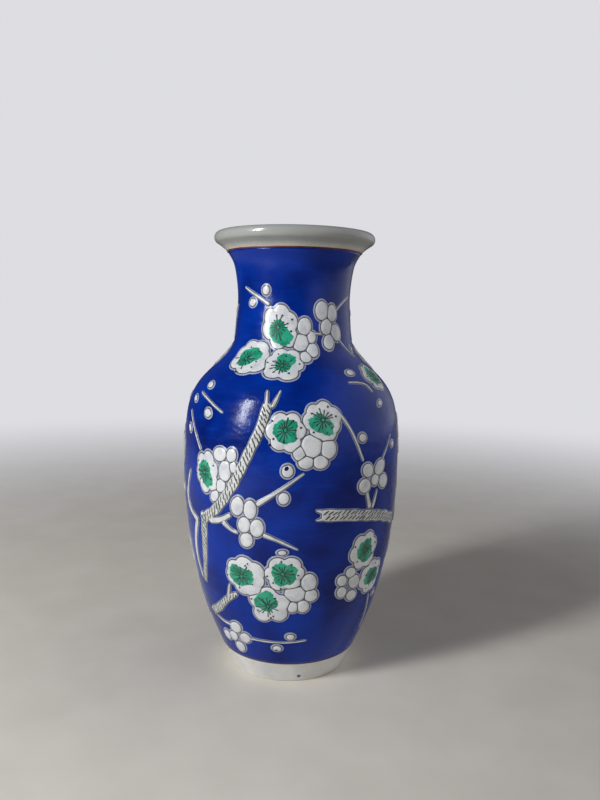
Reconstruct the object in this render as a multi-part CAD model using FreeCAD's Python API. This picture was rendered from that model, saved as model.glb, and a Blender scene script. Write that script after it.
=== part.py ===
import FreeCAD, Part
import math
import os

# A baluster flower vase in porcelain: sections luted together, a coat of blue enamel
# between two red lines, and plum blossom laid on the enamel in low white relief.
# Millimetres, +Z up. The origin is the middle of the circle that the foot stands on,
# and the front of the vase faces -Y.

# The pot's outside, from the foot up. Each station has a radius and a rise above the
# station below it, so a change of one rise lifts everything above it.
foot_radius = 33.5
foot_ring_rise = 6.0
foot_ring_top_radius = 36.1
foot_band_rise = 7.5
foot_line_radius = 39.4
low_belly_rise = 18.5
low_belly_radius = 47.2
mid_belly_rise = 32.0
mid_belly_radius = 56.0
high_belly_rise = 32.0
high_belly_radius = 60.7
belly_rise = 25.0
belly_radius = 61.6
upper_belly_rise = 23.0
upper_belly_radius = 60.5
shoulder_rise = 14.0
shoulder_radius = 57.5
shoulder_slope_rise = 10.0
shoulder_slope_radius = 51.4
neck_turn_rise = 10.0
neck_turn_radius = 41.4
neck_root_rise = 8.5
neck_root_radius = 34.6
low_neck_rise = 11.5
low_neck_radius = 32.4
waist_rise = 15.0
waist_radius = 31.5
high_neck_rise = 14.0
high_neck_radius = 32.7
rim_line_rise = 11.8
rim_line_radius = 37.7

# The rolled lip
lip_rise = 11.2
lip_radius = 45.5
lip_bead_radius = 3.4
lip_tuck_angle = 50.0

# The clay
wall_thickness = 4.5
floor_thickness = 6.0
foot_ring_width = 6.5
foot_edge_round = 0.8

# The enamels, laid one on the other, each this far off what carries it
enamel_clearance = 0.1
coat_thickness = 0.3
relief_thickness = 0.45
green_thickness = 0.1
rim_line_width = 1.0
foot_line_width = 0.8

# The relief's drawing
motif_gap = 0.3
lobe_notch = 0.8
lobe_swell = 1.25
lobe_shoulder = 0.12
green_share = 0.6

# The rows below give a turn from the front in degrees, positive to the right, and a
# height in mm on a vase whose red lines are at these two heights. On a vase of another
# height they spread between its own red lines.
drawn_foot_line = 13.5
drawn_rim_line = 238.8

# Blossoms: turn, height, half width, half height, spin in degrees
# Petals and buds: turn, height, half length, half width, lean in degrees
# Wood: width at the start, width at the end, then the turns and heights of its line
NECK_SPRAY = {
    "wood": [
        (1.0, 2.2, [(-55, 219), (-36, 213.5), (-25, 210)]),
        (1.6, 0.8, [(46, 208), (56, 211), (70, 215)]),
        (1.4, 0.8, [(49, 190), (56, 186), (63, 181)]),
    ],
    "blossoms": [
        (-12, 198, 9.6, 12.0, 20),
        (-36, 180, 10.0, 10.8, 60),
        (-5, 178.5, 10.0, 10.4, -10),
    ],
    "petals": [
        (11, 198, 4.4, 3.0, 88),
        (9.5, 190, 4.0, 3.4, 70),
        (18.4, 193, 2.8, 1.9, 75),
        (19.5, 186, 3.8, 2.4, 80),
        (13.5, 181.5, 2.9, 2.3, 80),
        (28, 207, 4.8, 3.2, 90),
        (40, 206, 4.3, 2.6, 88),
        (33, 198, 3.9, 2.8, 86),
        (44.5, 196, 4.3, 2.8, 112),
        (35, 190, 3.8, 2.6, 72),
    ],
    "buds": [
        (-27, 217, 3.2, 2.8, 85),
        (-43, 210.5, 3.2, 2.7, 20),
        (66, 186, 2.6, 1.6, 60),
    ],
}

MAIN_BOUGH = {
    "wood": [
        (5.2, 4.4, [(-11.5, 160), (-14.5, 147), (-20, 134), (-28, 117), (-38, 103),
                    (-49, 92), (-53, 76), (-58, 57)]),
        (1.2, 1.6, [(-13, 166), (-12.2, 161)]),
        (0.8, 1.6, [(-5.5, 166), (-8, 160.5)]),
        (3.0, 2.6, [(-38, 96), (-34, 97.5), (-30.5, 100)]),
        (2.2, 1.4, [(-57.5, 96), (-66, 104), (-71, 112), (-73, 120)]),
        (2.4, 1.6, [(-32, 95), (-29, 92.5), (-26, 91.5)]),
        (2.6, 0.8, [(-14, 109), (-5, 115.5), (7, 125)]),
        (2.6, 0.6, [(-11, 91.5), (-4, 89), (5, 84.5)]),
        (1.6, 1.0, [(24.5, 155), (31, 145), (38, 130)]),
        (1.2, 0.8, [(-60, 162), (-49, 158.5), (-36, 153)]),
        (1.0, 1.6, [(-66, 152), (-58, 142), (-52, 134)]),
    ],
    "blossoms": [
        (-2, 146, 9.0, 9.6, 0),
        (15.5, 151, 9.0, 9.6, 30),
        (-46, 121, 8.0, 11.2, 15),
    ],
    "petals": [
        (4, 134.5, 2.7, 2.4, -80),
        (10.5, 137, 4.2, 3.8, -80),
        (18.5, 136.5, 4.6, 3.6, -86),
        (7.5, 130, 3.2, 2.2, 0),
        (14.5, 130, 3.4, 2.4, 0),
        (-36, 132.4, 3.6, 2.7, 10),
        (-29, 132, 3.2, 2.3, 80),
        (-32.3, 123.6, 4.4, 2.6, 88),
        (-28.2, 126, 2.1, 1.4, 80),
        (-35, 115, 2.7, 1.7, 55),
        (-39.4, 109, 2.7, 1.4, 50),
        (-25.5, 106, 4.6, 3.0, 78),
        (-18.8, 105, 4.6, 2.8, 86),
        (-22, 96.5, 3.9, 2.8, 82),
        (-15.5, 95.5, 4.4, 3.0, 80),
        (-21, 88.5, 3.6, 2.9, 70),
    ],
    "buds": [
        (-1, 126, 3.9, 3.6, 80),
        (-2, 110.5, 3.8, 3.4, 83),
        (37.5, 141.5, 3.2, 2.8, -20),
        (-54, 166, 3.6, 2.4, -20),
        (-47, 152, 3.6, 2.8, -25),
        (-64, 158, 3.4, 2.0, -25),
        (-64, 142, 3.2, 2.2, -50),
    ],
}

RIGHT_BOUGH = {
    "wood": [
        (6.4, 5.6, [(14, 103), (34, 101), (54, 97), (72, 91)]),
        (2.0, 3.0, [(40.5, 111), (42.5, 104.5)]),
        (1.4, 2.2, [(48, 111), (46.5, 104)]),
        (1.4, 0.7, [(53, 130), (57, 134), (62, 141)]),
        (1.2, 1.4, [(35.5, 169.3), (43, 169), (49, 167.6), (52, 163.5)]),
    ],
    "blossoms": [
        (64, 171, 9.6, 9.4, 25),
    ],
    "petals": [
        (41, 124, 3.5, 2.9, -30),
        (50, 124.5, 4.4, 3.0, 30),
        (39, 116, 3.6, 3.1, -15),
        (53.5, 116.5, 3.8, 3.0, -25),
        (46.3, 118.2, 2.7, 2.3, -25),
    ],
    "buds": [
        (64, 135, 3.0, 2.2, -10),
        (42, 174, 3.6, 2.4, 12),
        (54.5, 158, 3.2, 1.8, 25),
    ],
}

LOWER_BOUGH = {
    "wood": [
        (2.6, 5.6, [(-33, 56), (-39, 50), (-48, 43), (-58, 37)]),
        (1.2, 2.0, [(-52, 34.5), (-46, 34.5), (-42, 35)]),
        (1.4, 0.6, [(-25, 28.5), (-11, 28.5), (1, 28.8), (13, 30)]),
    ],
    "blossoms": [
        (-24, 68, 10.0, 10.2, 40),
        (-2, 71, 10.0, 10.0, 0),
        (-11, 51.5, 9.8, 9.8, 22),
    ],
    "petals": [
        (11, 66, 4.2, 3.0, -85),
        (4.5, 57, 3.4, 3.2, -10),
        (12.5, 58, 3.0, 2.7, -60),
        (9, 51.5, 2.7, 2.4, -80),
        (3, 50.8, 2.4, 2.2, -85),
        (-36, 33.6, 3.8, 2.8, 45),
        (-40.5, 27, 3.4, 2.2, 55),
        (-30, 28, 3.5, 2.5, 48),
        (-48, 25.5, 3.2, 2.3, 60),
        (-37, 20.6, 3.6, 2.5, 62),
    ],
    "buds": [
        (-3, 82.9, 2.6, 1.4, 5),
        (2, 32.6, 3.0, 2.6, -5),
        (-7, 24.4, 3.2, 2.6, 5),
    ],
}

FOOT_BOUGH = {
    "wood": [
        (1.0, 1.6, [(57, 49), (60, 40), (62, 27)]),
    ],
    "blossoms": [
        (43, 80, 9.6, 10.4, 10),
        (53.5, 62, 9.0, 9.6, 45),
    ],
    "petals": [
        (34.5, 68.6, 3.2, 2.3, -30),
        (28.5, 65, 3.0, 2.3, -60),
        (38, 62.3, 3.7, 2.9, -50),
        (29.5, 57.6, 3.0, 2.3, -55),
        (37, 54.2, 3.0, 2.2, -30),
    ],
    "buds": [
        (64, 49, 2.8, 2.2, 20),
    ],
}

SIDE_BOUGH = {
    "wood": [
        (5.2, 2.4, [(-12, 88), (-4, 93), (3, 104), (4, 120)]),
        (1.6, 0.8, [(7, 116), (12, 123), (15, 134)]),
        (2.2, 0.8, [(-3, 58), (4, 52), (10, 41), (11, 30)]),
        (1.2, 0.7, [(0, 192), (6, 200), (14, 210)]),
    ],
    "blossoms": [
        (2, 132.5, 9.6, 10.0, 0),
        (-2, 70.5, 9.8, 10.4, 36),
        (-3, 181, 8.6, 9.6, 12),
    ],
    "petals": [
        (-9, 139, 3.8, 3.0, 60),
        (-10.5, 131, 3.8, 3.0, 100),
        (-5, 146, 3.6, 2.8, 20),
        (12, 66, 3.8, 3.0, 70),
        (10.5, 74.5, 3.6, 2.9, 110),
    ],
    "buds": [
        (-4, 107, 3.4, 2.8, 70),
        (11, 106, 3.4, 2.8, 50),
        (3, 40, 3.2, 2.6, 20),
        (2, 206, 3.0, 2.4, 60),
        (4, 158, 3.4, 2.6, 30),
    ],
}

# Each bough with the turns at which it is laid round the pot
BOUGHS = [
    ("neck_spray", NECK_SPRAY, (0, 180)),
    ("main_bough", MAIN_BOUGH, (0, 180)),
    ("right_bough", RIGHT_BOUGH, (0, 180)),
    ("lower_bough", LOWER_BOUGH, (0, 180)),
    ("foot_bough", FOOT_BOUGH, (0, 180)),
    ("side_bough", SIDE_BOUGH, (92, 272)),
]

ORIGIN = FreeCAD.Vector(0, 0, 0)
AXIS = FreeCAD.Vector(0, 0, 1)
FULL_TURN = 360.0
FRONT_TURN = 90.0
CIRCLE_HANDLE = 0.5523
OFFSET_PARTS = 3


def stack(steps):
    """Turns rises and radii into stations: a list of (radius, height)."""
    height = 0.0
    stations = []
    for rise, radius in steps:
        height += rise
        stations.append((radius, height))
    return stations


def spline(stations):
    """One smooth curve in the XZ plane whose parameter is the height at each station."""
    curve = Part.BSplineCurve()
    points = [FreeCAD.Vector(radius, 0, height) for radius, height in stations]
    curve.interpolate(Points=points, Parameters=[height for radius, height in stations])
    return curve


def split_heights(stations):
    """The stations' heights, with more between each two, so that an offset follows its curve."""
    heights = []
    for (_, low), (_, high) in zip(stations, stations[1:]):
        heights += [low + (high - low) * part / OFFSET_PARTS for part in range(OFFSET_PARTS)]
    return heights + [stations[-1][1]]


def offset(curve, stations, distance):
    """The same curve moved out along its own normal by a distance."""
    points = []
    heights = split_heights(stations)
    for height in heights:
        slope = curve.tangent(height)[0]
        outward = FreeCAD.Vector(slope.z, 0, -slope.x)
        points.append(curve.value(height) + outward * distance)
    moved = Part.BSplineCurve()
    moved.interpolate(Points=points, Parameters=heights)
    return moved


def steepness(curve, height):
    """Length along the curve for each mm of its parameter."""
    step = 0.5
    return (curve.value(height + step) - curve.value(height - step)).Length / (2 * step)


def line(start, end):
    """A straight edge."""
    return Part.LineSegment(start, end).toShape()


def revolve(edges):
    """A solid of revolution from the closed outline of one side."""
    face = Part.Face(Part.Wire(edges))
    return face.revolve(ORIGIN, AXIS, FULL_TURN)


# The stations and heights of the pot
ring_top = foot_ring_rise
foot_line_height = ring_top + foot_band_rise
FOOT_TO_BELLY = [
    (0.0, foot_radius),
    (foot_ring_rise, foot_ring_top_radius),
    (foot_band_rise, foot_line_radius),
    (low_belly_rise, low_belly_radius),
    (mid_belly_rise, mid_belly_radius),
    (high_belly_rise, high_belly_radius),
    (belly_rise, belly_radius),
]
BELLY_TO_NECK = [
    (upper_belly_rise, upper_belly_radius),
    (shoulder_rise, shoulder_radius),
    (shoulder_slope_rise, shoulder_slope_radius),
    (neck_turn_rise, neck_turn_radius),
    (neck_root_rise, neck_root_radius),
]
NECK_TO_LINE = [
    (low_neck_rise, low_neck_radius),
    (waist_rise, waist_radius),
    (high_neck_rise, high_neck_radius),
    (rim_line_rise, rim_line_radius),
]
STATIONS = stack(FOOT_TO_BELLY + BELLY_TO_NECK + NECK_TO_LINE)
belly_height = stack(FOOT_TO_BELLY)[-1][1]
neck_root_height = stack(FOOT_TO_BELLY + BELLY_TO_NECK)[-1][1]
rim_line_height = STATIONS[-1][1]
vase_height = rim_line_height + lip_rise

# The lip's bead, and where the outside and the inside run into it
bead_middle = FreeCAD.Vector(lip_radius - lip_bead_radius, 0, vase_height - lip_bead_radius)


def on_bead(degrees):
    """The point of the lip's bead at an angle above the level."""
    angle = math.radians(degrees)
    return bead_middle + FreeCAD.Vector(math.cos(angle), 0, math.sin(angle)) * lip_bead_radius


lip_under = on_bead(-lip_tuck_angle)
lip_inside = on_bead(180 - lip_tuck_angle)
LIP_STATIONS = STATIONS + [(lip_under.x, lip_under.z)]
OUTSIDE = spline(LIP_STATIONS)


def inner_stations():
    """The stations of the inside: the wall's thickness in from the outside, taken level."""
    inner = []
    for radius, height in STATIONS[1:]:
        slope = OUTSIDE.tangent(height)[0]
        inner.append((radius - wall_thickness / abs(slope.z), height))
    return inner + [(lip_inside.x, lip_inside.z)]


INSIDE = spline(inner_stations())

# Each enamel's two skins, by how far they stand off the clay
coat_seat = enamel_clearance
coat_top = coat_seat + coat_thickness
relief_seat = coat_top + enamel_clearance
relief_top = relief_seat + relief_thickness
green_seat = relief_top + enamel_clearance
green_top = green_seat + green_thickness


def round_pot(distance):
    """The whole surface round the pot at a distance from the clay."""
    return Part.SurfaceOfRevolution(offset(OUTSIDE, LIP_STATIONS, distance), ORIGIN, AXIS)


COAT_SEAT = offset(OUTSIDE, LIP_STATIONS, coat_seat)
COAT_TOP = offset(OUTSIDE, LIP_STATIONS, coat_top)
RELIEF_SKINS = (round_pot(relief_seat), round_pot(relief_top))
GREEN_SKINS = (round_pot(green_seat), round_pot(green_top))


def foot_ring():
    """The turned ring that the vase stands on, open in the middle."""
    ring_bore = foot_radius - foot_ring_width
    outer_low = OUTSIDE.value(0)
    outer_high = OUTSIDE.value(ring_top)
    inner_low = FreeCAD.Vector(ring_bore, 0, 0)
    inner_high = FreeCAD.Vector(ring_bore, 0, ring_top)
    ring = revolve([
        line(inner_low, outer_low),
        OUTSIDE.toShape(0, ring_top),
        line(outer_high, inner_high),
        line(inner_high, inner_low),
    ])
    standing_edges = [edge for edge in ring.Edges if edge.BoundBox.ZMax < foot_edge_round]
    return ring.makeFillet(foot_edge_round, standing_edges)


def lower_body():
    """The lower half of the pot with its floor, from the foot ring to the belly."""
    inner_low = INSIDE.value(ring_top + floor_thickness)
    floor_top = FreeCAD.Vector(0, 0, inner_low.z)
    floor_bottom = FreeCAD.Vector(0, 0, ring_top)
    return revolve([
        line(floor_bottom, OUTSIDE.value(ring_top)),
        OUTSIDE.toShape(ring_top, belly_height),
        line(OUTSIDE.value(belly_height), INSIDE.value(belly_height)),
        INSIDE.toShape(ring_top + floor_thickness, belly_height),
        line(inner_low, floor_top),
        line(floor_top, floor_bottom),
    ])


def upper_body():
    """The upper half of the pot, from the belly over the shoulder to the neck's root."""
    return revolve([
        OUTSIDE.toShape(belly_height, neck_root_height),
        line(OUTSIDE.value(neck_root_height), INSIDE.value(neck_root_height)),
        INSIDE.toShape(belly_height, neck_root_height),
        line(INSIDE.value(belly_height), OUTSIDE.value(belly_height)),
    ])


def neck_and_mouth():
    """The flared neck with its rolled lip."""
    over_the_top = Part.Arc(lip_under, on_bead(90 - lip_tuck_angle), lip_inside).toShape()
    return revolve([
        OUTSIDE.toShape(neck_root_height, rim_line_height),
        OUTSIDE.toShape(rim_line_height, lip_under.z),
        over_the_top,
        INSIDE.toShape(neck_root_height, lip_inside.z),
        line(INSIDE.value(neck_root_height), OUTSIDE.value(neck_root_height)),
    ])


def skin(low, high):
    """A thin band on the outside of the pot, between two heights."""
    return revolve([
        COAT_SEAT.toShape(low, high),
        line(COAT_SEAT.value(high), COAT_TOP.value(high)),
        COAT_TOP.toShape(low, high),
        line(COAT_TOP.value(low), COAT_SEAT.value(low)),
    ])


def on_pot(turn, height):
    """A drawn turn and height as the pot's own parameters."""
    spread = (rim_line_height - foot_line_height) / (drawn_rim_line - drawn_foot_line)
    return math.pi + math.radians(turn), foot_line_height + (height - drawn_foot_line) * spread


def move_on_pot(place, along, up):
    """A place moved by so many mm round the pot and up its wall."""
    turn, height = place
    return turn + along / OUTSIDE.value(height).x, height + up / steepness(OUTSIDE, height)


def drawn_edge(surface, poles):
    """One smooth edge on a surface of the pot."""
    curve = Part.Geom2d.BezierCurve2d()
    curve.setPoles([FreeCAD.Base.Vector2d(turn, height) for turn, height in poles])
    return curve.toShape(surface)


def raised_patch(outline, skins):
    """A closed solid between two skins round the pot, whose outline is a ring of edges."""
    lower, upper = skins
    low_edges = [drawn_edge(lower, poles) for poles in outline]
    high_edges = [drawn_edge(upper, poles) for poles in outline]
    faces = [Part.Face(lower, Part.Wire(low_edges)), Part.Face(upper, Part.Wire(high_edges))]
    for low, high in zip(low_edges, high_edges):
        faces += Part.makeRuledSurface(low, high).Faces
    shell = Part.Shell(faces)
    shell.sewShape()
    solid = Part.Solid(shell)
    if solid.Volume < 0:
        solid.reverse()
    return solid


def lobed_outline(place, half_width, half_height, spin, lobes=5):
    """The outline of an open blossom: a ring of round petals."""
    outline = []
    for number in range(lobes):
        start = math.radians(spin + FULL_TURN * number / lobes)
        end = math.radians(spin + FULL_TURN * (number + 1) / lobes)
        lean = (end - start) * lobe_shoulder
        reach = [(lobe_notch, start), (lobe_swell, start + lean),
                 (lobe_swell, end - lean), (lobe_notch, end)]
        outline.append([
            move_on_pot(place, half_width * out * math.cos(angle), half_height * out * math.sin(angle))
            for out, angle in reach
        ])
    return outline


def oval_outline(place, half_length, half_width, lean):
    """The outline of a petal or a bud: four quarters of an oval."""
    tilt = math.radians(lean)
    quarter = [(1, 0), (1, CIRCLE_HANDLE), (CIRCLE_HANDLE, 1), (0, 1)]
    outline = []
    for number in range(4):
        cosine = math.cos(number * math.pi / 2)
        sine = math.sin(number * math.pi / 2)
        poles = []
        for x, y in quarter:
            long_way = (x * cosine - y * sine) * half_length
            short_way = (x * sine + y * cosine) * half_width
            along = long_way * math.cos(tilt) - short_way * math.sin(tilt)
            up = long_way * math.sin(tilt) + short_way * math.cos(tilt)
            poles.append(move_on_pot(place, along, up))
        outline.append(poles)
    return outline


def smooth_spans(points):
    """Splits a smooth line through points into one edge for each span."""
    tangents = []
    for number, point in enumerate(points):
        before = points[max(number - 1, 0)]
        after = points[min(number + 1, len(points) - 1)]
        handle = 3.0 * (2 if 0 < number < len(points) - 1 else 1)
        tangents.append(((after[0] - before[0]) / handle, (after[1] - before[1]) / handle))
    spans = []
    for number in range(len(points) - 1):
        start, end = points[number], points[number + 1]
        leaving, arriving = tangents[number], tangents[number + 1]
        spans.append([
            start,
            (start[0] + leaving[0], start[1] + leaving[1]),
            (end[0] - arriving[0], end[1] - arriving[1]),
            end,
        ])
    return spans


def wood_outline(start_width, end_width, line_points):
    """The outline of a branch or twig along its line, with a square end and a narrow one."""
    places = [on_pot(turn, height) for turn, height in line_points]
    one_side = []
    other_side = []
    for number, place in enumerate(places):
        before = places[max(number - 1, 0)]
        after = places[min(number + 1, len(places) - 1)]
        along = (after[0] - before[0]) * OUTSIDE.value(place[1]).x
        up = (after[1] - before[1]) * steepness(OUTSIDE, place[1])
        length = math.hypot(along, up)
        share = number / (len(places) - 1)
        half = (start_width + (end_width - start_width) * share) / 2
        one_side.append(move_on_pot(place, -up / length * half, along / length * half))
        other_side.append(move_on_pot(place, up / length * half, -along / length * half))
    other_side.reverse()
    forward = smooth_spans(one_side)
    back = smooth_spans(other_side)
    return forward + [[one_side[-1], other_side[0]]] + back + [[other_side[-1], one_side[0]]]


def wood(rows):
    """Every branch and twig of a bough."""
    return [raised_patch(wood_outline(*row), RELIEF_SKINS) for row in rows]


def blossoms(rows):
    """The white blossoms of a bough."""
    solids = []
    for turn, height, half_width, half_height, spin in rows:
        outline = lobed_outline(on_pot(turn, height), half_width - motif_gap,
                                half_height - motif_gap, spin)
        solids.append(raised_patch(outline, RELIEF_SKINS))
    return solids


def greens(rows):
    """The green enamel that lies on the middle of each blossom."""
    solids = []
    for turn, height, half_width, half_height, spin in rows:
        outline = lobed_outline(on_pot(turn, height), half_width * green_share,
                                half_height * green_share, spin)
        solids.append(raised_patch(outline, GREEN_SKINS))
    return solids


def ovals(rows):
    """The single petals or the buds of a bough."""
    solids = []
    for turn, height, half_length, half_width, lean in rows:
        outline = oval_outline(on_pot(turn, height), half_length - motif_gap / 2,
                               half_width - motif_gap / 2, lean)
        solids.append(raised_patch(outline, RELIEF_SKINS))
    return solids


def laid_round(solids, turns):
    """Copies of a bough's solids, turned to each of its places round the pot."""
    laid = []
    for turn in turns:
        for solid in solids:
            copy = solid.copy()
            copy.rotate(ORIGIN, AXIS, FRONT_TURN + turn)
            laid.append(copy)
    return Part.makeCompound(laid)


def bough_nodes(name, rows, turns):
    """The nodes of one bough, by kind."""
    return {
        name + "_wood": laid_round(wood(rows["wood"]), turns),
        name + "_blossoms": laid_round(blossoms(rows["blossoms"]), turns),
        name + "_greens": laid_round(greens(rows["blossoms"]), turns),
        name + "_petals": laid_round(ovals(rows["petals"]), turns),
        name + "_buds": laid_round(ovals(rows["buds"]), turns),
    }


nodes = {
    "foot_ring": foot_ring(),
    "lower_body": lower_body(),
    "upper_body": upper_body(),
    "neck_and_mouth": neck_and_mouth(),
    "blue_enamel": skin(foot_line_height, rim_line_height),
    "foot_line": skin(foot_line_height - foot_line_width, foot_line_height),
    "rim_line": skin(rim_line_height, rim_line_height + rim_line_width),
}
for bough, bough_rows, bough_turns in BOUGHS:
    nodes.update(bough_nodes(bough, bough_rows, bough_turns))

os.makedirs("parts", exist_ok=True)
for node, shape in nodes.items():
    shape.exportStep("parts/" + node + ".step")
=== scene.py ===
import logging
import math
import random
from dataclasses import dataclass
from enum import Enum

import bpy
import numpy as np
from bpy.types import ID, Material, Mesh, Node, NodeSocket, NodeTree, Object, World
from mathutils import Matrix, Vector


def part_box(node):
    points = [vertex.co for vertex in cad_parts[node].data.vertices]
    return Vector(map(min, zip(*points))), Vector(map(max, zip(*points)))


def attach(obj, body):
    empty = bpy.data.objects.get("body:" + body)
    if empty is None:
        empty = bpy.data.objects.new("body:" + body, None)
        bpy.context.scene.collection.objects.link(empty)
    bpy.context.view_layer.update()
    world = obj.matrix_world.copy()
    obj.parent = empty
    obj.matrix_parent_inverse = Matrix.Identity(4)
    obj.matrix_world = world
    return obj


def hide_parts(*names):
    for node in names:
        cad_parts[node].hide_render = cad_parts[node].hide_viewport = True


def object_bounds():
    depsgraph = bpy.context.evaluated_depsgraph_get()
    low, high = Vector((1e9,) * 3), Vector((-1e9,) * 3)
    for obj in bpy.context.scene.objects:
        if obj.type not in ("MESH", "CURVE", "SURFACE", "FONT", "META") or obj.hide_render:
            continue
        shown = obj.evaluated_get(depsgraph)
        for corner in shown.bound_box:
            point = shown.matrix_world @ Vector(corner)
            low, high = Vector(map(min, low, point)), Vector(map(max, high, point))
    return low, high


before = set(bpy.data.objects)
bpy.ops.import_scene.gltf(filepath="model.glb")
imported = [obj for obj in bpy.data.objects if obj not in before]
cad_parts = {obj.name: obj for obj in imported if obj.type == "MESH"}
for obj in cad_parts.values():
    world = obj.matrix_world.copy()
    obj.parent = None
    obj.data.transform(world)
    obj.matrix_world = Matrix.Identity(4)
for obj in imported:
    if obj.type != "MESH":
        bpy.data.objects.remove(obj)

# A baluster flower vase in porcelain with a blue enamel ground and plum blossom in low
# relief. Everything on the pot is drawn flat, in millimetres round its own middle, and
# then laid on the pot's outside, which is read from the CAD model's blue coat.

LOG = logging.getLogger("vase")
MM = 0.001
ROOT = "root"
CAD_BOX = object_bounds()

# The width of the steep skirt round every raised shape, in mm
RIM = 0.05

Pair = tuple[float, float]
Triple = tuple[float, float, float]
Row = tuple[float, float, float, float, float]


class Lift(Enum):
    """How far things stand off the outside of the blue coat, in mm."""

    SKIRT = -0.2
    EDGE = 0.05
    PETAL = 0.62
    BLOSSOM = 0.55
    WOOD = 0.5
    GREEN = 0.60
    STROKE = 0.68
    HATCH = 0.56
    SPOT = 0.7


class Laid(Enum):
    """The turns, in degrees from the front, at which a bough is laid round the pot."""

    FRONT_AND_BACK = (0.0, 180.0)
    BOTH_SIDES = (92.0, 272.0)


def linear(code: str) -> tuple[float, float, float, float]:
    """Turns an sRGB hex colour into the linear colour that a shader takes.

    Args:
        code: six hex digits, such as "0a2f8f".

    Returns:
        Red, green, blue and an alpha of one.
    """
    channels = [int(code[at:at + 2], 16) / 255 for at in (0, 2, 4)]
    shades = [c / 12.92 if c <= 0.04045 else ((c + 0.055) / 1.055) ** 2.4 for c in channels]
    return shades[0], shades[1], shades[2], 1.0


def add_node(tree: NodeTree, kind: str, settings: dict | None = None,
             links: dict | None = None) -> Node:
    """Adds one node to a tree, with its settings and what goes into it.

    Args:
        tree: the shader or geometry tree.
        kind: the node's type name.
        settings: attributes of the node by name.
        links: values or other nodes' outputs, by the input's name or number.

    Returns:
        The new node.
    """
    made = tree.nodes.new(kind)
    for name, value in (settings or {}).items():
        setattr(made, name, value)
    for key, value in (links or {}).items():
        if isinstance(value, NodeSocket):
            tree.links.new(value, made.inputs[key])
        else:
            made.inputs[key].default_value = value
    return made


def maths(tree: NodeTree, what: str, first: object, second: object = 0.0,
          third: object = 0.0) -> NodeSocket:
    """One step of arithmetic on values or other nodes' outputs."""
    made = add_node(tree, "ShaderNodeMath", {"operation": what}, {0: first, 1: second, 2: third})
    return made.outputs[0]


def stretched(tree: NodeTree, value: NodeSocket, low: object, high: object,
              to_low: object = 0.0, to_high: object = 1.0, kind: str = "LINEAR") -> NodeSocket:
    """Stretches one range of a value onto another, and clamps it."""
    made = add_node(tree, "ShaderNodeMapRange", {"interpolation_type": kind}, {
        "Value": value, "From Min": low, "From Max": high, "To Min": to_low, "To Max": to_high})
    return made.outputs["Result"]


def empty_tree(owner: Material | World) -> NodeTree:
    """Turns on the nodes of a material or world and clears them away."""
    owner.use_nodes = True
    owner.node_tree.nodes.clear()
    return owner.node_tree


def stand(name: str, data: ID) -> Object:
    """Makes an object and puts it in the scene."""
    made = bpy.data.objects.new(name, data)
    bpy.context.scene.collection.objects.link(made)
    return made


def store(mesh: Mesh, name: str, values: list[float], kind: str = "FLOAT") -> None:
    """Gives a mesh's points a named attribute: one number each, or three for a FLOAT_VECTOR."""
    made = mesh.attributes.new(name, kind, "POINT")
    made.data.foreach_set("vector" if kind == "FLOAT_VECTOR" else "value", values)


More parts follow.
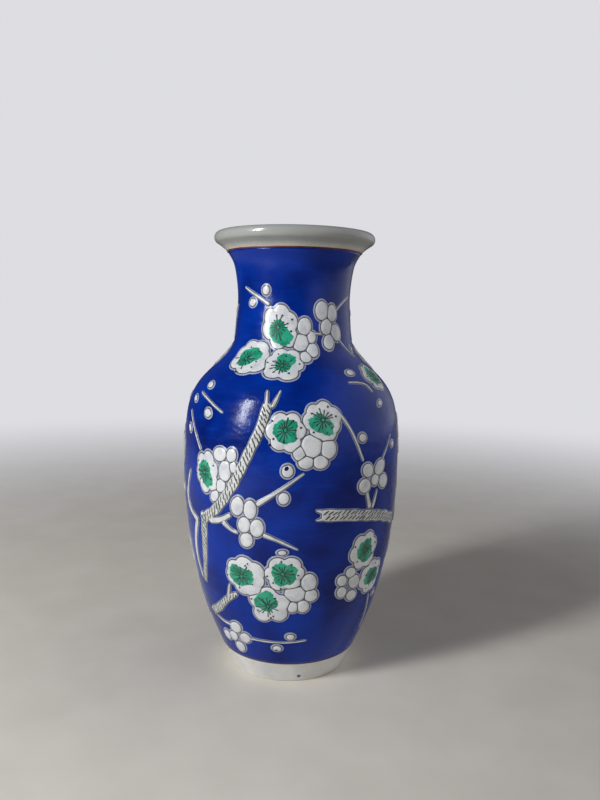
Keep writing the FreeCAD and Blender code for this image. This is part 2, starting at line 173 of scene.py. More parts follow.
@dataclass
class PotSurface:
    """The outside of the blue coat: a smooth profile turned round the vase's axis.

    Fields are in mm. bends holds the profile's second derivative at each height. Each of the
    swells that the hand left has its count round the pot, its climb for each mm of height, and
    its share.
    """

    heights: np.ndarray
    radii: np.ndarray
    bends: np.ndarray
    unevenness: float = 0.11
    even_border: float = 9.0
    swells: tuple[Triple, ...] = ((2, 0.021, 0.5), (3, -0.043, 0.3), (5, 0.09, 0.2))
    ring_gap: float = 1.6
    outward_from: float = 0.3

    @classmethod
    def of_node(cls, name: str) -> "PotSurface":
        """Reads the outer skin of a turned node.

        Args:
            name: a CAD node that is a thin band round the axis.

        Returns:
            The profile that runs through the skin's rings of vertices.
        """
        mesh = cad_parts[name].data
        found = []
        for face in mesh.polygons:
            points = [mesh.vertices[at].co / MM for at in face.vertices]
            middle = sum(points, points[0] * 0) / len(points)
            level = math.hypot(middle.x, middle.y)
            outward = (face.normal.x * middle.x + face.normal.y * middle.y) / level
            if outward > cls.outward_from:
                found += [(point.z, math.hypot(point.x, point.y)) for point in points]
        found.sort()
        kept = [found[0]]
        for ring in found:
            if ring[0] - kept[-1][0] > cls.ring_gap and found[-1][0] - ring[0] > cls.ring_gap:
                kept.append(ring)
        kept.append(found[-1])
        heights, radii = (np.array(column) for column in zip(*kept))
        return cls(heights, radii, cls.smooth_bends(heights, radii))

    @staticmethod
    def smooth_bends(heights: np.ndarray, radii: np.ndarray) -> np.ndarray:
        """Works out the second derivatives of the natural cubic through the rings.

        Args:
            heights: the rings' heights, rising.
            radii: the rings' radii.

        Returns:
            One second derivative for each ring.
        """
        count = len(heights)
        step = np.diff(heights)
        rise = np.diff(radii) / step
        matrix = np.eye(count)
        right = np.zeros(count)
        for at in range(1, count - 1):
            matrix[at, at - 1] = step[at - 1]
            matrix[at, at] = 2 * (step[at - 1] + step[at])
            matrix[at, at + 1] = step[at]
            right[at] = 6 * (rise[at] - rise[at - 1])
        return np.linalg.solve(matrix, right)

    def profile(self, height: np.ndarray) -> tuple[np.ndarray, np.ndarray]:
        """Gives the radius and its slope.

        Args:
            height: heights above the table in mm.

        Returns:
            The radii in mm, and the change of radius for each mm of height.
        """
        height = np.clip(np.asarray(height, float), self.heights[0], self.heights[-1])
        at = np.clip(np.searchsorted(self.heights, height) - 1, 0, len(self.heights) - 2)
        low, high = self.heights[at], self.heights[at + 1]
        step = high - low
        near = (high - height) / step
        far = 1 - near
        bend_low, bend_high = self.bends[at], self.bends[at + 1]
        radius = (near * self.radii[at] + far * self.radii[at + 1]
                  + ((near ** 3 - near) * bend_low + (far ** 3 - far) * bend_high) * step ** 2 / 6)
        slope = ((self.radii[at + 1] - self.radii[at]) / step
                 + ((1 - 3 * near ** 2) * bend_low + (3 * far ** 2 - 1) * bend_high) * step / 6)
        return radius, slope

    def steepness(self, height: np.ndarray) -> np.ndarray:
        """Length along the wall for each mm of height."""
        return np.hypot(1.0, self.profile(height)[1])

    def hand(self, turn: np.ndarray, height: np.ndarray) -> np.ndarray:
        """How far a hand-finished wall strays from true, in mm, and nothing at its borders."""
        angle = np.radians(turn)
        stray = sum(np.sin(count * angle + height * climb) * share for count, climb, share in self.swells)
        inside = np.minimum(height - self.heights[0], self.heights[-1] - height)
        return stray * self.unevenness * np.clip(inside / self.even_border, 0, 1)

    def place(self, turn: np.ndarray, height: np.ndarray, lift: np.ndarray) -> np.ndarray:
        """Lays points on the pot.

        Args:
            turn: degrees from the front, positive to the right.
            height: mm above the table.
            lift: mm off the coat's outside, along its normal.

        Returns:
            The points in metres, one row each.
        """
        turn, height, lift = (np.asarray(value, float) for value in (turn, height, lift))
        radius, slope = self.profile(height)
        long_way = np.hypot(1.0, slope)
        off = lift + self.hand(turn, height)
        out = radius + off / long_way
        up = height - off * slope / long_way
        angle = np.radians(turn)
        return np.stack([out * np.sin(angle), -out * np.cos(angle), up], axis=1) * MM

    def unrolled(self, mesh: Mesh) -> tuple[np.ndarray, np.ndarray, np.ndarray, np.ndarray]:
        """Reads a flat mesh, whose vertices are drawn in mm round their own "centre".

        Args:
            mesh: a mesh whose points carry "centre" as turn and height.

        Returns:
            The vertices' turns and heights on the pot, their lifts in mm, and their centres.
        """
        flat = np.zeros(len(mesh.vertices) * 3)
        centre = flat.copy()
        mesh.vertices.foreach_get("co", flat)
        mesh.attributes["centre"].data.foreach_get("vector", centre)
        flat, centre = flat.reshape(-1, 3), centre.reshape(-1, 3)
        turn = centre[:, 0] + np.degrees(flat[:, 0] / self.profile(centre[:, 1])[0])
        height = centre[:, 1] + flat[:, 1] / self.steepness(centre[:, 1])
        return turn, height, flat[:, 2], centre

    def wrap(self, mesh: Mesh) -> None:
        """Lays a flat mesh on the pot."""
        turn, height, lift, centre = self.unrolled(mesh)
        mesh.vertices.foreach_set("co", self.place(turn, height, lift).ravel())
        mesh.update()


def turned_mesh(name: str, pot: PotSurface, section: list[Pair],
                around: int) -> Mesh:
    """Makes a closed ring round the pot from one cross-section.

    Args:
        name: the mesh's name.
        pot: the surface that the section is drawn on.
        section: heights and lifts in mm, in a loop that goes up outside and down inside.
        around: how many steps the ring takes round the pot.

    Returns:
        The mesh, in metres.
    """
    heights = np.tile([height for height, lift in section], around)
    lifts = np.tile([lift for height, lift in section], around)
    turns = np.repeat(np.arange(around) * 360.0 / around, len(section))
    points = pot.place(turns, heights, lifts)
    loop = len(section)
    faces = []
    for step in range(around):
        near = step * loop
        far = (step + 1) % around * loop
        for at in range(loop):
            after = (at + 1) % loop
            faces.append((near + at, far + at, far + after, near + after))
    mesh = bpy.data.meshes.new(name)
    mesh.from_pydata(points.tolist(), [], faces)
    mesh.shade_smooth()
    return mesh


def show(name: str, mesh: Mesh, finish: Material | None,
         replaced: tuple[str, ...]) -> None:
    """Puts a finished mesh in the scene as a piece that rides on the vase.

    Args:
        name: the piece's name.
        mesh: its mesh, in metres and in place.
        finish: its material, or None where the mesh already has one.
        replaced: the CAD nodes that it stands for.
    """
    mesh.name = name
    piece = stand(name, mesh)
    if finish is not None:
        mesh.materials.clear()
        mesh.materials.append(finish)
    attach(piece, ROOT)
    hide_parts(*replaced)
    LOG.info("%s: %d faces", name, len(mesh.polygons))


@dataclass(frozen=True)
class Finish:
    """What every finish has: a name for the material and its process, and its gloss."""

    name: str = "finish"
    roughness: float = 0.3
    index: float = 1.5

    def start(self) -> tuple[NodeTree, Node, Material]:
        """Makes the material with its shader.

        Returns:
            The node tree, its shader node and the material.
        """
        material = bpy.data.materials.new(self.name)
        tree = empty_tree(material)
        shader = add_node(tree, "ShaderNodeBsdfPrincipled",
                          links={"Roughness": self.roughness, "IOR": self.index})
        add_node(tree, "ShaderNodeOutputMaterial", links={"Surface": shader.outputs["BSDF"]})
        return tree, shader, material

    @staticmethod
    def noise(tree: NodeTree, size_mm: float, detail: float = 3.0,
              stretch: Triple = (1.0, 1.0, 1.0)) -> NodeSocket:
        """Makes noise whose patches have a real size.

        Args:
            tree: the material's tree.
            size_mm: the width of a patch in mm.
            detail: how many finer layers it has.
            stretch: how much finer it is along each axis.

        Returns:
            The noise's value, around a half.
        """
        spot = add_node(tree, "ShaderNodeTexCoord")
        scale = 1 / (size_mm * MM)
        mapped = add_node(tree, "ShaderNodeMapping", links={
            "Vector": spot.outputs["Object"], "Scale": [scale * part for part in stretch]})
        made = add_node(tree, "ShaderNodeTexNoise", links={
            "Vector": mapped.outputs["Vector"], "Scale": 1.0, "Detail": detail})
        return made.outputs["Fac"]

    @staticmethod
    def ramp(tree: NodeTree, value: NodeSocket,
             stops: list[tuple[float, str]]) -> NodeSocket:
        """Makes a colour that follows a value.

        Args:
            tree: the material's tree.
            value: what the colour follows, from 0 to 1.
            stops: places from 0 to 1 with their hex colours.

        Returns:
            The colour.
        """
        made = add_node(tree, "ShaderNodeValToRGB", links={"Fac": value})
        stripes = made.color_ramp.elements
        while len(stripes) < len(stops):
            stripes.new(0.5)
        for stripe, (place, code) in zip(stripes, stops):
            stripe.position = place
            stripe.color = linear(code)
        return made.outputs["Color"]

    @staticmethod
    def mix(tree: NodeTree, share: object, first: object,
            second: object) -> NodeSocket:
        """Mixes two colours, given as hex codes or as other nodes' outputs."""
        one, other = (linear(value) if isinstance(value, str) else value for value in (first, second))
        links = {"Factor": share, 6: one, 7: other}
        return add_node(tree, "ShaderNodeMix", {"data_type": "RGBA"}, links).outputs[2]

    @staticmethod
    def inset(tree: NodeTree) -> NodeSocket:
        """How far each point lies inside the edge of its motif, in mm."""
        return add_node(tree, "ShaderNodeAttribute", {"attribute_name": "inset"}).outputs["Fac"]

    @staticmethod
    def bump(tree: NodeTree, shader: Node,
             layers: list[tuple[NodeSocket, float]]) -> None:
        """Gives a shader bumps of real heights.

        Args:
            tree: the material's tree.
            shader: the shader that takes the bumps.
            layers: each layer's value and how many mm high it is.
        """
        normal = None
        for value, height in layers:
            links = {"Height": value, "Distance": height * MM, "Strength": 1.0}
            if normal is not None:
                links["Normal"] = normal
            normal = add_node(tree, "ShaderNodeBump", links=links).outputs["Normal"]
        tree.links.new(normal, shader.inputs["Normal"])


@dataclass(frozen=True)
class GlazedPorcelain(Finish):
    """White porcelain under a clear glaze: a soft grey white, faintly uneven, with a few specks.

    The glaze gathers warm and creamy in the strip above the rim line. Above that strip the lip
    is painted a darker grey as shade, for the dim light that falls on it. It is wiped off the
    foot where it stands, which leaves a dry, chalky ring.
    """

    name: str = "porcelain_clear_glazed"
    roughness: float = 0.16
    white: str = "d9d7d1"
    grey: str = "c6c5c2"
    # Painted shade: the lip above the cream strip is mixed towards this darker grey for the dim light on
    # it; its glaze is the same white.
    lip_shade: str = "94958f"
    cream: str = "cbb697"
    speck: str = "4a443d"
    biscuit: str = "d9d0c0"
    splash: str = "16307e"
    cream_low: float = 238.0
    cream_high: float = 240.2
    lip_shade_from: float = 240.0
    patch: float = 16.0
    grain: float = 1.3
    waver: float = 1.6
    lip_shade_share: float = 0.9
    cream_share: float = 0.75
    bare_below: float = 0.9
    dry_roughness: float = 0.75
    speck_spacing: float = 11.0
    splash_place: Triple = (6.6, -34.2, 3.6)
    splash_radius: float = 1.5

    def build(self) -> Material:
        """Makes the material."""
        tree, shader, material = self.start()
        spot = add_node(tree, "ShaderNodeTexCoord").outputs["Object"]
        axes = add_node(tree, "ShaderNodeSeparateXYZ", links={"Vector": spot})
        height = maths(tree, "MULTIPLY", axes.outputs["Z"], 1 / MM)
        broad = self.noise(tree, self.patch)
        fine = self.noise(tree, self.grain)
        colour = self.ramp(tree, broad, [(0.35, self.grey), (0.62, self.white)])
        wavering = maths(tree, "MULTIPLY_ADD", fine, self.waver, height)
        # Painted shade: from this height up the lip is mixed towards the darker grey that stands for its
        # shade.
        high = stretched(tree, wavering, self.lip_shade_from, self.lip_shade_from + 3.0, 0.0, self.lip_shade_share)
        colour = self.mix(tree, high, colour, self.lip_shade)
        rising = stretched(tree, wavering, self.cream_low, self.cream_low + 1.5)
        fading = stretched(tree, wavering, self.cream_high, self.cream_high + 1.6, 1.0, 0.0)
        creamy = maths(tree, "MULTIPLY", maths(tree, "MULTIPLY", rising, fading), self.cream_share)
        colour = self.mix(tree, creamy, colour, self.cream)
        specks = add_node(tree, "ShaderNodeTexVoronoi", links={
            "Vector": spot, "Scale": 1 / (self.speck_spacing * MM)})
        dark = stretched(tree, specks.outputs["Distance"], 0.022, 0.045, 0.8, 0.0)
        colour = self.mix(tree, dark, colour, self.speck)
        away = add_node(tree, "ShaderNodeVectorMath", {"operation": "DISTANCE"}, {
            0: spot, 1: [part * MM for part in self.splash_place]})
        ragged = maths(tree, "MULTIPLY_ADD", fine, 1.2 * MM, away.outputs["Value"])
        splashed = stretched(tree, ragged, self.splash_radius * MM, 1.2 * self.splash_radius * MM, 0.9, 0.0)
        colour = self.mix(tree, splashed, colour, self.splash)
        bare = stretched(tree, wavering, self.bare_below, self.bare_below + 0.9, 1.0, 0.0)
        colour = self.mix(tree, bare, colour, self.biscuit)
        tree.links.new(colour, shader.inputs["Base Color"])
        uneven = stretched(tree, broad, 0.3, 0.7, self.roughness - 0.04, self.roughness + 0.08)
        gloss = add_node(tree, "ShaderNodeMix", {"data_type": "FLOAT"}, {
            0: bare, 2: uneven, 3: self.dry_roughness})
        tree.links.new(gloss.outputs[0], shader.inputs["Roughness"])
        self.bump(tree, shader, [(broad, 0.5), (fine, 0.03)])
        return material


@dataclass(frozen=True)
class CobaltEnamel(Finish):
    """Cobalt blue overglaze enamel, brushed on and fired: deep, semi-gloss and a little wavy.

    The brush leaves faint level streaks where it lies thinner, and pinholes as fine as dust.
    """

    name: str = "cobalt_enamel_brushed"
    roughness: float = 0.18
    index: float = 1.31
    deep: str = "00145a"
    plain: str = "002c8c"
    thin: str = "033c9c"
    wave_height: float = 0.17
    streak_height: float = 0.04

    def build(self) -> Material:
        """Makes the material."""
        tree, shader, material = self.start()
        broad = self.noise(tree, 30.0, 2.0)
        streaks = self.noise(tree, 7.0, 4.0, (0.5, 0.5, 2.4))
        grit = self.noise(tree, 1.5, 2.0)
        colour = self.ramp(tree, broad, [(0.3, self.deep), (0.62, self.plain)])
        thinly = stretched(tree, streaks, 0.55, 0.8, 0.0, 0.35)
        colour = self.mix(tree, thinly, colour, self.thin)
        tree.links.new(colour, shader.inputs["Base Color"])
        gloss = stretched(tree, streaks, 0.3, 0.75, self.roughness - 0.05, self.roughness + 0.09)
        tree.links.new(gloss, shader.inputs["Roughness"])
        wavy = self.noise(tree, 5.5, 2.0)
        self.bump(tree, shader, [(wavy, self.wave_height), (streaks, self.streak_height),
                                 (grit, self.streak_height)])
        return material


@dataclass(frozen=True)
class IronRedLine(Finish):
    """A thin line of iron-red enamel, drawn on a turning pot: dark, and paler where it ran dry."""

    name: str = "iron_red_enamel_drawn"
    roughness: float = 0.3
    dark: str = "3f0e1c"
    dry: str = "74303a"

    def build(self) -> Material:
        """Makes the material."""
        tree, shader, material = self.start()
        streaks = self.noise(tree, 5.0, 4.0, (1.0, 1.0, 3.0))
        colour = self.ramp(tree, streaks, [(0.42, self.dark), (0.72, self.dry)])
        tree.links.new(colour, shader.inputs["Base Color"])
        self.bump(tree, shader, [(streaks, 0.05)])
        return material


@dataclass(frozen=True)
class EdgedRelief(Finish):
    """Raised white enamel inside a drawn outline, as on petals, blossoms and wood.

    From its edge inward it is a thin pale wash that lets the blue through, then a dark drawn
    line, then the raised white. Each width is in mm.
    """

    name: str = "white_enamel_raised"
    roughness: float = 0.3
    wash: str = "969aab"
    outline: str = "38383a"
    shade: str = "bcbdc0"
    white: str = "d4d4d3"
    fleck: str = "9d9ea3"
    wash_width: float = 0.8
    line_width: float = 0.55
    waver: float = 0.22
    grain: float = 2.2
    soft: float = 0.13

    def build(self) -> Material:
        """Makes the material."""
        tree, shader, material = self.start()
        inset = self.inset(tree)
        shaky = self.noise(tree, self.grain)
        shaken = maths(tree, "MULTIPLY_ADD", shaky, 2 * self.waver, inset)
        depth = maths(tree, "SUBTRACT", shaken, self.waver)
        inner = self.wash_width + self.line_width
        to_line = stretched(tree, depth, self.wash_width - self.soft, self.wash_width + self.soft)
        to_white = stretched(tree, depth, inner - self.soft, inner + self.soft)
        broad = self.noise(tree, 5.0)
        body = self.ramp(tree, broad, [(0.3, self.shade), (0.55, self.white)])
        colour = self.mix(tree, to_line, self.wash, self.outline)
        colour = self.mix(tree, to_white, colour, body)
        fine = self.noise(tree, 0.8)
        flecked = stretched(tree, self.noise(tree, 0.5, 1.0), 0.6, 0.72, 0.0, 0.45)
        colour = self.mix(tree, maths(tree, "MULTIPLY", flecked, to_white), colour, self.fleck)
        tree.links.new(colour, shader.inputs["Base Color"])
        self.bump(tree, shader, [(broad, 0.12), (fine, 0.03)])
        return material


@dataclass(frozen=True)
class GreenWash(Finish):
    """A thin wash of green enamel dabbed on white: clear in its middle, ragged and pale at its edge."""

    name: str = "green_enamel_dabbed"
    roughness: float = 0.24
    deep: str = "188060"
    plain: str = "2f9d7c"
    pale: str = "a9cfc0"

    def build(self) -> Material:
        """Makes the material."""
        tree, shader, material = self.start()
        inset = self.inset(tree)
        dabs = self.noise(tree, 1.1, 4.0)
        broad = self.noise(tree, 4.0)
        body = self.ramp(tree, broad, [(0.35, self.deep), (0.6, self.plain)])
        worn = maths(tree, "MULTIPLY_ADD", dabs, 1.3, inset)
        inside = stretched(tree, worn, 0.62, 0.95)
        colour = self.mix(tree, inside, self.pale, body)
        tree.links.new(colour, shader.inputs["Base Color"])
        self.bump(tree, shader, [(dabs, 0.05)])
        return material


@dataclass(frozen=True)
class DrawnLine(Finish):
    """Fine lines and dots drawn in dark enamel with a brush point: green black, nearly matt."""

    name: str = "dark_enamel_drawn"
    roughness: float = 0.4
    dark: str = "15211f"
    thin: str = "3a4a46"

    def build(self) -> Material:
        """Makes the material."""
        tree, shader, material = self.start()
        uneven = self.noise(tree, 1.0)
        colour = self.ramp(tree, uneven, [(0.4, self.dark), (0.75, self.thin)])
        tree.links.new(colour, shader.inputs["Base Color"])
        return material


@dataclass(frozen=True)
class BlueSpot(DrawnLine):
    """Drops of the ground's blue that fell on the white: nearly black where they lie thick."""

    name: str = "cobalt_enamel_dropped"
    roughness: float = 0.2
    dark: str = "060f3c"
    thin: str = "101f66"


@dataclass(frozen=True)
class Blossom:
    """An open blossom: its place, its half sizes, and what is painted on it, in mm.

    green gives the green dab's offset and half sizes, and heart the offset of the ring
    that the stamens grow from.
    """

    turn: float
    height: float
    half_width: float
    half_height: float
    spin: float
    green: tuple[float, float, float, float]
    heart: Pair


@dataclass(frozen=True)
class Oval:
    """A petal or a bud: its place, its half sizes in mm and its lean in degrees."""

    turn: float
    height: float
    half_length: float
    half_width: float
    lean: float


@dataclass(frozen=True)
class Wood:
    """A branch or twig: its widths in mm at both ends and the turns and heights of its line."""

    start_width: float
    end_width: float
    line: tuple[Pair, ...]


@dataclass(frozen=True)
class BoughPlan:
    """What one bough holds, and where it is laid round the pot."""

    name: str
    laid: Laid
    wood: tuple[Wood, ...]
    blossoms: tuple[Blossom, ...]
    petals: tuple[Oval, ...]
    buds: tuple[Oval, ...]
    spots: tuple[Oval, ...] = ()


def rows_of(kind: type, *rows: tuple) -> tuple:
    """Makes a record of one kind from each row of its fields."""
    return tuple(kind(*row) for row in rows)


NECK_SPRAY = BoughPlan(
    "neck_spray", Laid.FRONT_AND_BACK,
    wood=rows_of(
        Wood, (1.0, 2.2, ((-55, 219), (-36, 213.5), (-22, 209))),
        (1.6, 0.8, ((43, 206), (56, 211), (70, 215))), (1.4, 0.8, ((47, 192), (56, 186), (63, 181))),
        (1.0, 1.0, ((15, 195.5), (21, 194.5), (29, 194)))),
    blossoms=rows_of(
        Blossom, (-12, 198, 9.8, 12.6, 20, (0.2, -3.8, 4.8, 6.8), (-1.0, -0.6)),
        (-34.4, 181.3, 11.8, 12.6, 60, (-0.8, 0.2, 5.4, 6.6), (-2.0, -1.8)),
        (-6.4, 178.5, 11.0, 11.6, -10, (1.0, 1.0, 4.6, 6.0), (-0.4, -1.6))),
    petals=rows_of(
        Oval, (11, 198, 4.4, 3.0, 88), (7.6, 189.6, 4.4, 3.6, 70), (17.4, 192.2, 2.8, 1.9, 75),
        (17.4, 185.6, 3.9, 2.6, 80), (10.6, 182, 3.1, 2.7, 80), (28.4, 206.6, 4.8, 3.2, 90),
        (40, 205.4, 4.3, 2.6, 88), (33, 198, 3.9, 2.8, 86), (44.2, 195, 4.3, 2.8, 112),
        (35, 190, 3.8, 2.6, 72)),
    buds=rows_of(
        Oval, (-27, 217, 3.2, 2.8, 85), (-43, 210.5, 3.2, 2.7, 20), (66, 186, 2.6, 1.6, 60)))

MAIN_BOUGH = BoughPlan(
    "main_bough", Laid.FRONT_AND_BACK,
    wood=rows_of(
        Wood, (5.0, 5.8, ((-11.5, 160), (-14.5, 147), (-20, 134), (-28, 117), (-38, 103), (-51, 93))),
        (6.0, 3.0, ((-48, 99), (-49.5, 86), (-51.5, 74), (-54, 65), (-57.5, 55.5))),
        (3.6, 2.6, ((-55, 93), (-58.5, 85), (-61.2, 76), (-61.6, 67), (-59, 57))),
        (1.2, 2.2, ((-13, 166), (-12.2, 158))), (0.8, 2.2, ((-5.5, 166), (-9.5, 157))),
        (3.4, 2.6, ((-44, 95), (-36, 97), (-29, 101))),
        (3.6, 1.8, ((-54, 92), (-63, 97), (-66.5, 104), (-64.5, 112), (-61, 120))),
        (2.6, 1.6, ((-35, 96.5), (-29, 92.5), (-25, 91.5))),
        (2.6, 0.8, ((-16, 107.5), (-5, 115.5), (7, 125))),
        (2.6, 0.6, ((-13, 92.5), (-4, 89), (5, 84.5))), (1.6, 1.0, ((23, 157), (31, 145), (38, 129))),
        (1.2, 0.8, ((-60, 162), (-49, 158.5), (-36, 153))),
        (1.0, 1.6, ((-66, 152), (-58, 142), (-50, 131.5)))),
    blossoms=rows_of(
        Blossom, (-2, 146, 10.1, 10.4, 0, (-0.2, 0.0, 5.6, 5.6), (-0.4, 0.6)),
        (15.8, 150.7, 10.2, 11.0, 30, (-0.8, -1.4, 4.1, 6.4), (-0.2, 1.0)),
        (-45.2, 121, 9.4, 11.8, 15, (-0.4, -0.8, 4.4, 6.8), (-1.2, -0.4))),
    petals=rows_of(
        Oval, (4.4, 135, 3.2, 2.6, -80), (10.2, 138.8, 5.4, 4.7, -80), (18.4, 137.2, 4.7, 3.5, -86),
        (7.5, 130.5, 3.5, 2.6, 0), (14.5, 130.5, 3.6, 2.7, 0), (-36, 131.8, 3.9, 3.0, 10),
        (-29, 132, 3.2, 2.3, 80), (-32.7, 123.4, 5.0, 3.3, 88), (-28.0, 126, 2.6, 1.5, 80),
        (-35.2, 115.4, 3.2, 2.5, 55), (-39.2, 109.4, 3.2, 1.9, 50), (-25.5, 106, 4.6, 3.0, 78),
        (-18.8, 105, 4.6, 2.8, 86), (-22, 96.5, 3.9, 2.8, 82), (-15.5, 95.5, 4.4, 3.0, 80),
        (-21, 88.5, 3.6, 2.9, 70)),
    buds=rows_of(
        Oval, (-1, 126, 3.9, 3.6, 80), (-2.6, 111.9, 3.8, 3.4, 83), (37.5, 141.5, 3.2, 2.8, -20),
        (-54, 166, 3.6, 2.4, -20), (-47, 152, 3.6, 2.8, -25), (-64, 158, 3.4, 2.0, -25),
        (-64, 142, 3.2, 2.2, -50)),
    spots=rows_of(
        Oval, (-1.4, 127.3, 1.4, 1.1, 40), (-9.6, 139, 0.8, 0.7, 0)))

RIGHT_BOUGH = BoughPlan(
    "right_bough", Laid.FRONT_AND_BACK,
    wood=rows_of(
        Wood, (6.4, 5.6, ((15, 103), (34, 101), (54, 97), (72, 91))),
        (1.0, 2.6, ((12.6, 105.6), (17.5, 104.2))), (1.0, 2.6, ((12.8, 100.2), (17.5, 101.0))),
        (2.0, 3.0, ((40.5, 113), (43.4, 103))), (1.4, 2.2, ((48.6, 113), (45, 102.5))),
        (1.4, 0.7, ((52, 128), (57, 134), (62, 141))),
        (1.2, 1.4, ((35.5, 169.3), (43, 169), (49, 167.6), (52, 163.5)))),
    blossoms=rows_of(
        Blossom, (64, 171, 9.6, 9.4, 25, (0.0, 0.0, 5.4, 5.6), (0.0, -0.8))),
    petals=rows_of(
        Oval, (41, 124, 3.5, 2.9, -30), (50, 124.5, 4.4, 3.0, 30), (39, 116, 3.6, 3.1, -15),
        (53.5, 116.5, 3.8, 3.0, -25), (46.3, 118.2, 2.7, 2.3, -25)),
    buds=rows_of(
        Oval, (64, 135, 3.0, 2.2, -10), (42, 174, 3.6, 2.4, 12), (54.5, 158, 3.2, 1.8, 25)))

LOWER_BOUGH = BoughPlan(
    "lower_bough", Laid.FRONT_AND_BACK,
    wood=rows_of(
        Wood, (2.8, 5.6, ((-29, 56.5), (-37, 51.5), (-47, 43.5), (-58, 37.5))),
        (1.4, 2.2, ((-33.6, 61.5), (-36.5, 52.5))), (1.2, 2.0, ((-54, 37), (-46, 34.8), (-39, 34.6))),
        (1.4, 0.6, ((-27, 28.6), (-11, 28.5), (1, 28.8), (13, 30)))),
    blossoms=rows_of(
        Blossom, (-23, 67.3, 11.4, 12.2, 40, (-2.6, 0.4, 5.2, 6.6), (-2.2, 0.2)),
        (-2, 71, 10.8, 10.4, 0, (0.0, 0.0, 6.0, 6.0), (-0.8, 0.2)),
        (-10.2, 52.3, 11.4, 11.6, 22, (-1.8, 2.2, 5.6, 5.4), (-0.8, -0.6))),
    petals=rows_of(
        Oval, (11, 66, 4.8, 3.4, -85), (3.9, 59.7, 5.2, 4.1, -10), (12.5, 58.5, 3.3, 3.0, -60),
        (8.6, 52, 3.3, 2.7, -80), (2.8, 51.6, 2.8, 2.4, -85), (-36, 33.6, 3.8, 2.8, 45),
        (-40.5, 27, 3.4, 2.2, 55), (-30, 28, 3.5, 2.5, 48), (-48, 25.5, 3.2, 2.3, 60),
        (-37, 20.6, 3.6, 2.5, 62)),
    buds=rows_of(
        Oval, (-3, 83, 3.2, 1.8, 5), (2, 32.6, 3.0, 2.6, -5), (-7, 24.4, 3.2, 2.6, 5)),
    spots=rows_of(
        Oval, (-7.4, 23.6, 0.9, 0.7, 10)))

FOOT_BOUGH = BoughPlan(
    "foot_bough", Laid.FRONT_AND_BACK,
    wood=rows_of(
        Wood, (1.0, 1.6, ((56, 51), (60, 40), (62, 27)))),
    blossoms=rows_of(
        Blossom, (43, 80, 10.2, 11.0, 10, (0.4, -0.4, 5.2, 6.2), (0.2, 0.0)),
        (53.5, 62, 10.4, 10.8, 45, (0.0, 0.4, 4.6, 6.0), (0.2, 0.6))),
    petals=rows_of(
        Oval, (35.2, 68.6, 3.2, 2.2, -30), (30, 64.8, 2.9, 2.3, -60), (38.6, 62.8, 4.0, 3.0, -50),
        (31, 57.8, 3.1, 2.3, -55), (38.4, 54.6, 3.3, 2.4, -30)),
    buds=rows_of(
        Oval, (64, 49, 2.8, 2.2, 20)))

SIDE_BOUGH = BoughPlan(
    "side_bough", Laid.BOTH_SIDES,
    wood=rows_of(
        Wood, (5.2, 2.4, ((-12, 88), (-4, 93), (3, 104), (4, 122))),
        (1.6, 0.8, ((6, 114), (12, 123), (15, 134))),
        (2.2, 0.8, ((-3, 60), (4, 52), (10, 41), (11, 30))),
        (1.2, 0.7, ((-1, 190), (6, 200), (14, 210)))),
    blossoms=rows_of(
        Blossom, (2, 132.5, 9.6, 10.0, 0, (0.4, 0.4, 5.4, 5.8), (0.0, 0.4)),
        (-2, 70.5, 9.8, 10.4, 36, (-0.8, 0.6, 5.6, 6.0), (-0.6, -0.4)),
        (-3, 181, 8.6, 9.6, 12, (0.6, -0.8, 4.8, 5.6), (0.0, 0.2))),
    petals=rows_of(
        Oval, (-9, 139, 3.8, 3.0, 60), (-10.5, 131, 3.8, 3.0, 100), (-5, 146, 3.6, 2.8, 20),
        (12, 66, 3.8, 3.0, 70), (10.5, 74.5, 3.6, 2.9, 110)),
    buds=rows_of(
        Oval, (-4, 107, 3.4, 2.8, 70), (11, 106, 3.4, 2.8, 50), (3, 40, 3.2, 2.6, 20),
        (2, 206, 3.0, 2.4, 60), (4, 158, 3.4, 2.6, 30)))

BOUGHS = (NECK_SPRAY, MAIN_BOUGH, RIGHT_BOUGH, LOWER_BOUGH, FOOT_BOUGH, SIDE_BOUGH)


def template(name: str, points: list[Pair], faces: list[tuple[int, ...]],
             insets: list[float]) -> Object:
    """Makes a flat shape that the trees lay many times. It isn't linked to the scene.

    Args:
        name: the shape's name.
        points: its flat points, about one unit in reach.
        faces: its faces.
        insets: how far each point lies inside the shape's edge, in the same unit.

    Returns:
        The shape.
    """
    mesh = bpy.data.meshes.new(name)
    mesh.from_pydata([(x, y, 0.0) for x, y in points], [], faces)
    store(mesh, "unit_inset", insets)
    mesh.shade_smooth()
    return bpy.data.objects.new(name, mesh)


def disc_points(edges: list[float], shares: tuple[float, ...] = (1.0,)) -> list[Pair]:
    """The points of a disc, ring by ring from the rim's radii inwards, with its middle last."""
    turns = [2 * math.pi * at / len(edges) for at in range(len(edges))]
    points = [(share * edge * math.cos(turn), share * edge * math.sin(turn))
              for share in shares for turn, edge in zip(turns, edges)]
    return points + [(0.0, 0.0)]


def disc_faces(around: int, rings: int) -> list[tuple[int, ...]]:
    """The faces of a disc whose points run ring by ring from its rim and end in its middle."""
    faces: list[tuple[int, ...]] = []
    for ring in range(rings - 1):
        for at in range(around):
            after = (at + 1) % around
            outer, inner = ring * around, (ring + 1) * around
            faces.append((outer + at, outer + after, inner + after, inner + at))
    last = (rings - 1) * around
    faces += [(last + at, last + (at + 1) % around, rings * around) for at in range(around)]
    return faces


